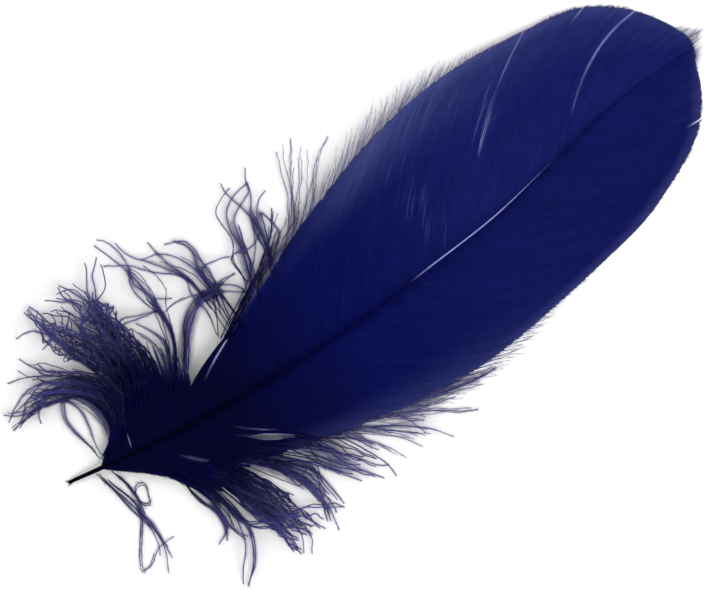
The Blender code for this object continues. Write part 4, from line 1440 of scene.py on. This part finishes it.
# Each tuft: its two outer lines, the strands between them, and its single strands.
DOWN: tuple[Down, ...] = (
    Down("down_swept_back", (
        Tuft(((13.5, 0.5), (17, 5), (18.4, 9.5), (15.5, 15.6), (10.5, 19.5), (5.8, 26)),
             ((8.5, 0.4), (12.2, 3.2), (13.3, 7.5), (11.5, 12.5), (6, 14.9), (-3.5, 15.2)), 38,
             (((11, 1.5), (16, 5.5), (18, 9.5), (15.5, 15), (10.5, 19.5), (7, 23), (5.8, 26)),
              ((8, 0.3), (12, 3), (13.3, 7.5), (11.5, 12.5), (6.5, 14.9), (1, 15.6), (-3.5, 15.2)),
              ((13, 2), (17, 7), (16.5, 12), (11, 18), (6, 21.5), (1, 23.3)),
              ((12, 2), (16, 6), (16, 11), (11, 16.5), (5, 19.8), (-0.7, 18.1), (-3.3, 16.9)),
              ((12, 1.6), (15, 6), (14.5, 11), (9, 16), (3, 18.2), (-1.4, 15.2)),
              ((11, 1.4), (14.5, 6), (13.8, 11), (7, 17), (4.7, 18), (3, 15.5), (2, 12.7)),
              ((12, 1.5), (15, 6), (15, 11), (9, 17), (2, 16), (-1.5, 17), (-3.3, 18.6))),
             lift=5, wave=1, curl=0.5, shortest=0.62),
        Tuft((), (), 0,
             (((8.6, -0.8), (7.4, 0.9), (7.4, 2.5), (6.9, 5), (6.3, 8), (6.2, 11), (7.2, 13.5),
               (10.2, 15.5)),
              ((8.6, -0.8), (7.5, 0.8), (7.5, 2.5), (7, 5), (6.5, 8), (6.6, 11), (8.3, 13.8), (11, 15)),
              ((8.8, -0.6), (8.3, 1.2), (8.6, 4), (9.4, 7), (9.8, 10), (9, 13), (7, 15))),
             lift=1.2, rest=0.2, wave=0.15, company=0, radius=0.08, paling=0.4),
        Tuft(((9.4, 0.2), (10.6, 3), (11, 7), (10.2, 11), (7.6, 14.6)),
             ((12.6, 1.2), (14.4, 4.4), (14.6, 8), (13.6, 11), (10.6, 15)), 18, lift=1, rest=0.2,
             wave=0.2, radius=0.055, shortest=0.85, paling=0.6, bed=0.9)), 31),
    Down("down_upright", (
        Tuft(((14.5, 4.5), (17, 8), (17.4, 12), (16.5, 16), (15, 20), (14, 25), (12.8, 31)),
             ((25, 4), (27.5, 9), (27.3, 14), (26, 20), (25, 24), (24.6, 28), (24.6, 31)), 64,
             (((17, 6), (18, 10), (16.5, 16), (15, 20), (14, 25), (13.5, 28), (12.5, 33.2)),
              ((25, 4), (27.5, 9), (27.5, 14), (26, 20), (25, 24), (24.5, 28), (27.3, 34)),
              ((22, 12), (23, 20), (24.8, 26), (27.5, 30.5), (30.4, 34.2)),
              ((22, 12), (23.6, 20), (23.8, 26.5), (22.3, 30.5), (20.8, 33.3)),
              ((21, 14), (19, 22), (21.2, 27), (20.6, 30.5), (20.8, 33.3)),
              ((17, 14), (15, 22), (14.5, 29), (14.3, 31), (12.6, 33.3)),
              ((16.5, 16), (14.6, 22), (13, 29), (12.5, 31), (12.6, 33.3)),
              ((18, 16), (15.6, 22), (14, 25.5), (12.8, 27.5), (10.5, 29.5), (7.3, 30)),
              ((20, 15), (19, 22), (16, 26.5), (13, 25.3), (10.4, 25)),
              ((21, 18), (22.5, 26), (20.5, 30), (16.5, 32.4)),
              ((24, 17), (25, 22.5), (27.2, 23.5), (25, 25), (22, 24.6)),
              ((24.4, 17), (25.4, 22), (26.6, 24.8), (24, 25.2), (20, 25))),
             lift=6.6, rest=1.2, wave=1.1, curl=2.3, radius=0.14, shortest=0.6, bed=0.9),),
         32, stations=44),
    Down("down_beside_wedge", (
        Tuft(((25, 2.5), (28, 9), (28, 14), (26.5, 18.5)),
             ((28, 3), (31.2, 9), (31.5, 12.5), (30.5, 15.5), (29, 18)), 4,
             (((29, 6), (31.5, 12.5), (30.5, 15.5), (29, 18.3)),), lift=2, wave=0.3, radius=0.09,
             bed=0.3),
        Tuft(((25.6, 2), (29.5, 8), (32, 13), (33.4, 18), (32.8, 24), (33.4, 28)),
             ((27.6, 1.6), (32, 7.6), (34.8, 14), (34.8, 20), (34.9, 25), (34.2, 29)), 3,
             (((28, 4), (31, 8), (33.5, 12), (34.3, 17), (34.2, 22), (33.2, 25), (34.2, 28), (34.2, 33),
               (33.5, 35.2), (32.2, 36.7)),
              ((28, 3), (32, 9), (34.4, 14), (34.5, 22), (33.7, 27.5), (32.5, 32), (31, 36)),
              ((29, 4), (33, 10), (35, 15), (36.5, 18.6), (37.6, 20), (38, 23), (36.8, 27)),
              ((30, 6), (33.6, 12), (35, 20), (36.5, 19), (37.8, 18.3)),
              ((34, 17), (32.8, 21), (32.6, 25), (34, 28)),
              ((34.4, 17), (35.4, 22), (35.2, 26), (34.4, 28))),
             lift=4.6, wave=0.6, company=0, radius=0.105, bed=0.3),
        Tuft(((28.4, 2.4), (33, 9.4), (38, 13.8), (44, 15.4), (48, 15.2)),
             ((30, 1.6), (34, 5.6), (38.5, 10.8), (43, 13.6), (48, 12.6)), 2,
             (((29, 3), (33, 7), (36, 11), (39, 13.5), (42, 14.3), (46, 14), (49, 12), (51, 10.5)),
              ((30, 2), (34, 7), (37, 11), (41, 14), (44, 16)),
              ((29, 3), (31, 5), (35, 10), (37, 13), (40, 15), (43, 15.5), (47, 15), (51, 15.3)),
              ((24.5, 18), (27, 20.6), (30, 19.5), (34, 18)),
              ((24.5, 18), (26.5, 19.5), (30, 18.8), (33.5, 18)),
              ((34, 16.6), (37, 17.2), (41, 16.5), (44, 15))),
             lift=2.6, wave=0.3, company=0, radius=0.1)), 33),
    Down("down_middle", (
        Tuft(((41, 4), (43.4, 11), (43.2, 18), (40, 24), (36, 29)),
             ((47, 5), (46.8, 13), (47, 20), (46.2, 25.6), (44, 27.6)), 5,
             (((41, 6.5), (43.5, 11), (45, 15), (45.5, 20), (46.5, 24), (45, 27), (42.7, 28)),
              ((44, 7), (44, 12), (43, 17), (42, 22), (40.5, 27), (40.3, 30.3)),
              ((43, 5), (43, 16), (42, 21), (38, 27), (35, 32), (34.7, 33.8)),
              ((46.5, 8), (46.5, 13), (45.5, 18), (44, 23), (41, 27), (37, 28)),
              ((43, 12), (42.5, 20), (38, 24.5), (34, 29), (30.3, 31.5)),
              ((45, 8), (47, 20), (46.5, 26), (44.5, 27.5)),
              ((45, 12), (46.8, 19.8), (50, 19.3), (52, 18.5)), ((44, 10), (47, 15.5), (51, 15)),
              ((41, 7), (42, 12), (41.5, 16), (42.5, 20))),
             lift=4, wave=0.7, company=0, radius=0.105, shortest=0.6, bed=0.3),), 34),
    Down("down_outer", (
        Tuft(((50, 7.4), (52, 14), (53.6, 19), (54.4, 24)),
             ((52.4, 8), (55, 15), (56.4, 20.4), (58, 25)), 2,
             (((50.5, 9.5), (52, 14), (52.3, 17.5), (54.3, 20.5), (54.5, 25), (54.8, 27.2), (57, 28.8),
               (60, 29.7)),
              ((51.5, 10), (53.5, 14), (55, 19), (55.3, 23), (57, 26.5), (60, 28), (63.5, 28.5)),
              ((52, 10.5), (55, 16), (56, 21), (57, 24), (60, 25.8), (63, 27.2), (63.5, 28.8)),
              ((52, 12), (52.5, 18.3), (57, 17.5), (60, 19)), ((51, 10), (50, 12.6), (47, 15.2)),
              ((53, 10), (55, 12.4), (59, 13), (63, 14.6))),
             lift=2.6, wave=0.4, company=0),
        Tuft(((56.6, 9.6), (58.4, 15), (59, 19.5), (59.8, 23)),
             ((58.6, 10), (60.4, 17), (62, 22), (63.4, 25)), 2,
             (((57, 11), (58.5, 15), (59, 19), (60.5, 23), (62.5, 26), (63.5, 29), (64.9, 31.3)),
              ((58, 12), (59.5, 17), (61, 21.5), (63.5, 24.5), (65.5, 25.2)),
              ((58.6, 12), (60.2, 22), (59.7, 25), (58.8, 29.5), (59, 31.5)),
              ((59, 14), (61.5, 20), (62.2, 22), (63, 19)), ((58, 12), (60, 14), (63, 17), (63, 20))),
             lift=2.2, wave=0.4, company=0),
        Tuft(((59, 11.2), (64, 15.6), (68, 20.6), (71, 25), (73, 29.8)),
             ((66, 14), (70, 17), (75, 21.4), (79, 25), (82, 27)), 5,
             (((60, 12), (63, 14), (66, 17), (69, 21), (71, 25), (72, 28), (73.6, 30.5)),
              ((61, 12.6), (64.5, 14.5), (68, 19), (71, 24), (73.5, 27.5), (75.7, 31)),
              ((64, 14), (70, 16), (75, 21), (79, 25), (82, 27))),
             lift=0.6, rest=1, wave=0.5, radius=0.07, shortest=0.55, paling=0.35, filmed=0, bed=0),
        Tuft(((41, 5.4), (46, 8.3), (52, 11.6), (57, 14.4), (62, 18.6), (66, 23)),
             ((43, 5), (49, 8), (55, 10.7), (61, 13.4), (67, 16.2), (71, 19)), 26,
             (((41, 6), (45, 8.4), (49, 10.4), (54, 13.6), (58, 18), (60, 22)),
              ((42, 6), (47, 8.2), (52, 10.8), (57, 13.4), (61, 17), (65, 20))),
             lift=0.8, rest=0.6, wave=0.35, radius=0.09, shortest=0.3, rooted=0.6, bed=0)), 35),
    Down("down_right_strays", (
        Tuft(((5.2, -1.7), (5.8, -5), (6.9, -9), (7.6, -12.5)),
             ((8, -3), (8.6, -6.5), (8.6, -10), (8.2, -13)), 0,
             (((5.2, -1.7), (5.8, -5), (6.9, -9), (7.6, -12.5), (8.6, -16.5), (8.3, -20), (7.9, -24.3)),
              ((6.4, -4), (8, -13.2), (5.2, -17.5), (3, -20.5), (1.9, -23.2), (3.2, -23.2), (7, -21),
               (10.6, -20.9)), ((7.6, -12), (8.2, -19), (7.5, -22.5), (5.5, -26.3)),
              ((8, -3), (8.9, -6.5), (9, -10), (8.2, -13), (8.5, -16.5)),
              ((8, -3), (8.9, -6.5), (9.1, -10), (9.6, -12.2), (10.4, -12.6), (11.3, -11), (11.8, -8.5),
               (10.6, -8.1), (9.4, -9), (9.2, -11), (8.4, -14)),
              ((5.6, -2), (6.2, -6), (6.8, -11), (8, -17), (8.4, -22))),
             lift=0.6, rest=0.2, wave=0.12, radius=0.1, rooted=0.3, paling=0.35, filmed=0.4),),
         36, barbules=Barbules(10, 1.8, 0.036, (10, 40), 0.06)),
    Down("down_right_curl", (
        Tuft(((17, -11), (19, -15), (20.4, -19), (20.2, -24)),
             ((22, -13), (24, -19), (24.2, -25), (22.6, -31)), 9,
             (((18.5, -13), (19, -18.5), (20.3, -21), (20.7, -24), (19.8, -26), (17, -27.5)),
              ((18.5, -14), (19.4, -19), (20.4, -23), (20, -26), (18.8, -27.8)),
              ((19, -13), (20, -16), (22, -20), (23.7, -24), (24, -28), (22.5, -31.5), (20, -35),
               (17, -37.8)),
              ((20, -14), (21, -17), (23, -22.5), (22.5, -27.5), (21.5, -30.5), (18, -34.5),
               (16.5, -36.8)), ((20, -14), (21, -20), (20.9, -25), (22, -28.3), (22.8, -29.5)),
              ((20, -14), (22.6, -20), (24.2, -26), (23, -31.6), (20.6, -35), (17.2, -37.4))),
             lift=3, rest=0.3, wave=0.3),
        Tuft(((21, -12), (24, -18.5), (25.6, -25), (27.6, -31.5), (29.8, -38)),
             ((27, -13), (32, -22), (34, -29), (35, -34), (36, -37)), 50,
             (((22, -12), (26, -19), (29, -24), (31, -28), (32, -33), (31.5, -36), (29.7, -38.7)),
              ((21, -14), (24.2, -19.5), (25.4, -24), (27.4, -28.5), (31, -32), (33, -36)),
              ((21, -13), (25, -18.5), (26.6, -23), (27.4, -27.5), (30, -30), (34, -31.5)),
              ((23, -14), (27, -21), (30, -27), (33, -33), (33, -37), (31.5, -40)),
              ((22, -16), (25, -28), (28.5, -29.8), (29, -33), (29.7, -38.5)),
              ((22.6, -18), (25, -28.5), (29, -31.5), (31.8, -33.5)),
              ((27, -20), (31, -30), (35, -33.5), (36.2, -37)),
              ((26, -21), (30, -30), (36, -31.5), (39, -33.5), (41.5, -36))),
             lift=5, rest=0.3, wave=1, curl=0.6, radius=0.15, shortest=0.6, bed=0.97)), 37),
    Down("down_right_hanging", (
        Tuft(((26.6, -14), (31, -19.5), (35.5, -25.5), (38.4, -31), (38.4, -36)),
             ((34.4, -15.8), (39, -21.4), (41.4, -26), (42, -31), (42.3, -35)), 15,
             (((33, -17), (37, -22), (37.5, -25), (38.5, -29), (39, -33), (38, -36.5)),
              ((36, -20), (41.5, -26), (40, -30), (38.8, -33), (37.5, -36.2)),
              ((34, -19), (38.6, -28), (39.3, -34), (38.4, -39)),
              ((36, -20), (41.5, -27), (42, -31), (42.2, -35.3)),
              ((34, -18), (37, -23.5), (38, -26), (39.5, -25.5), (40.5, -25))),
             lift=2, rest=0.3, wave=0.5, radius=0.115, paling=0.1, shortest=0.45),
        Tuft(((35, -16), (40, -21.5), (43, -27), (47.8, -33.5)),
             ((44, -19), (48, -22.5), (51.5, -29), (54.2, -36)), 12,
             (((34, -17), (40, -23), (44, -28), (47.8, -33.5)),
              ((36, -18), (42, -24), (46, -29), (50, -33), (51.8, -35.7)),
              ((38, -18), (46, -25), (50, -29.5), (53, -33.5), (54.2, -34)),
              ((43, -19.5), (50, -25), (52.5, -30), (54, -34), (54, -36.8))),
             # Painted light: these strands are paler all along, over the shade they lie in.
             lift=2.4, rest=0.3, wave=0.5, paling=0.15, radius=0.135, shortest=0.6),
        Tuft(((43, -18.9), (49, -23), (53, -28), (57.8, -35)),
             ((60, -24.4), (70, -27.8), (78, -30), (83.5, -30.8)), 42,
             (((42, -19.5), (47, -22.5), (52, -26), (56, -31), (57.8, -35)),
              ((44, -20), (50, -23.5), (56, -28), (60, -32), (61.7, -35)),
              ((48, -22), (56, -26), (62, -30), (66, -34), (68, -37)),
              ((54, -24), (62, -27), (68, -30.5), (72, -33.5), (75.2, -35.3)),
              ((60, -24.6), (68, -27.5), (73, -29.5), (78.5, -31.5)),
              ((64, -25.4), (74, -28), (80, -30.3), (83, -30.5))),
             # Painted light: these strands are paler all along, over the shade they lie in.
             lift=0.8, rest=0.3, wave=0.3, company=2, radius=0.08, paling=0.5, shortest=0.6, filmed=0,
             above=-0.9, bed=0.4, bed_from=0.4)), 38),
)


@dataclass
class Table:
    """The plain pale table that the feather lies on."""

    half: float = 3.0
    colour: Colour = (0.9, 0.9, 0.9)
    dimmed: float = 0.985       # brightness of its dimmer patches
    roughness: float = 0.9
    gloss: float = 0.1

    def build(self) -> bpy.types.Object:
        """A level square, which isn't part of the feather.

        Returns:
            The table.
        """
        mesh = bpy.data.meshes.new("table")
        h = self.half
        mesh.from_pydata([(-h, -h, 0), (h, -h, 0), (h, h, 0), (-h, h, 0)], [], [(0, 1, 2, 3)])
        material, bench, shader = started_material("pale_table", self.gloss)
        patches = bench.ease(bench.noise(bench.place(), 8.0), 0.3, 0.7)
        dimmer = tuple(c * self.dimmed for c in self.colour)
        bench.fill(shader, Base_Color=bench.mix(patches, self.colour, dimmer),
                   Roughness=self.roughness)
        mesh.materials.append(material)
        table = bpy.data.objects.new("table", mesh)
        bpy.context.scene.collection.objects.link(table)
        return table


@dataclass(frozen=True)
class Lamp:
    """A square soft light that looks at the middle of the feather."""

    name: str
    bearing: float          # degrees from +X towards +Y
    elevation: float
    distance: float         # metres, as is the size
    size: float
    watts: float

    def build(self) -> bpy.types.Object:
        """Places the light on a sphere round the feather.

        Returns:
            The light.
        """
        light = bpy.data.lights.new(self.name, "AREA")
        light.size = self.size
        light.energy = self.watts
        lamp = bpy.data.objects.new(self.name, light)
        a, e = math.radians(self.bearing), math.radians(self.elevation)
        lamp.location = (self.distance * math.cos(e) * math.cos(a),
                         self.distance * math.cos(e) * math.sin(a), self.distance * math.sin(e))
        lamp.rotation_euler = (math.pi / 2 - e, 0.0, a + math.pi / 2)
        bpy.context.scene.collection.objects.link(lamp)
        return lamp


@dataclass
class Studio:
    """The lights and the camera that looks straight down."""

    lamps: tuple[Lamp, ...] = (
        Lamp("key_light", -80.0, 48.0, 1.1, 0.7, 7.4),
        Lamp("tip_light", 20.0, 40.0, 1.2, 0.6, 3.0),
        Lamp("left_light", 120.0, 42.0, 1.2, 0.8, 3.6),
    )
    sky: float = 0.52
    view_turn: float = 35.2     # degrees by which the feather's X leans up in the photo
    view_middle: Point = (68.2, -2.58)
    view_width: float = 142.4
    view_height: float = 1003.0
    view_level: float = 3.0     # height at which the view is exactly that wide
    sensor: float = 36.0

    def build(self) -> None:
        """Makes the lights, the even sky and the camera."""
        for lamp in self.lamps:
            lamp.build()
        world = bpy.data.worlds.new("even_sky")
        world.use_nodes = True
        Bench(world.node_tree).fill(world.node_tree.nodes["Background"], Color=WHITE,
                                    Strength=self.sky)
        scene = bpy.context.scene
        scene.world = world
        scene.view_settings.view_transform = "Standard"
        scene.view_settings.look = "None"
        camera = bpy.data.cameras.new("camera")
        camera.sensor_width = self.sensor
        camera.lens = self.sensor * (self.view_height - self.view_level) / self.view_width
        camera.clip_start, camera.clip_end = 0.01, 50.0
        eye = bpy.data.objects.new("camera", camera)
        eye.location = (np.array([*self.view_middle, self.view_height])
                        + QUILL_END * [1, 1, 0]) * MM
        eye.rotation_euler = (0.0, 0.0, -math.radians(self.view_turn))
        scene.collection.objects.link(eye)
        scene.camera = eye


def main() -> None:
    """Builds the feather piece by piece, then the table, the lights and the camera."""
    logging.basicConfig(level=logging.INFO, format="%(message)s")
    effects = Effects.build()
    barbs = {dye: VaneFinish(*dye.value).material(effects) for dye in BarbDye}
    down = DownFinish().material(effects)
    Shaft().build(ShaftFinish().material(effects))
    for vane in VANES:
        vane.build(barbs[vane.dye])
    films = Shape()
    for fringe in FRINGES:
        fringe.build(barbs[fringe.dye], films)
    for tufts in DOWN:
        tufts.build(down, films)
    films.store("barbule_film", FilmFinish().material(effects))
    Table().build()
    Studio().build()


if __name__ == "__main__":
    main()
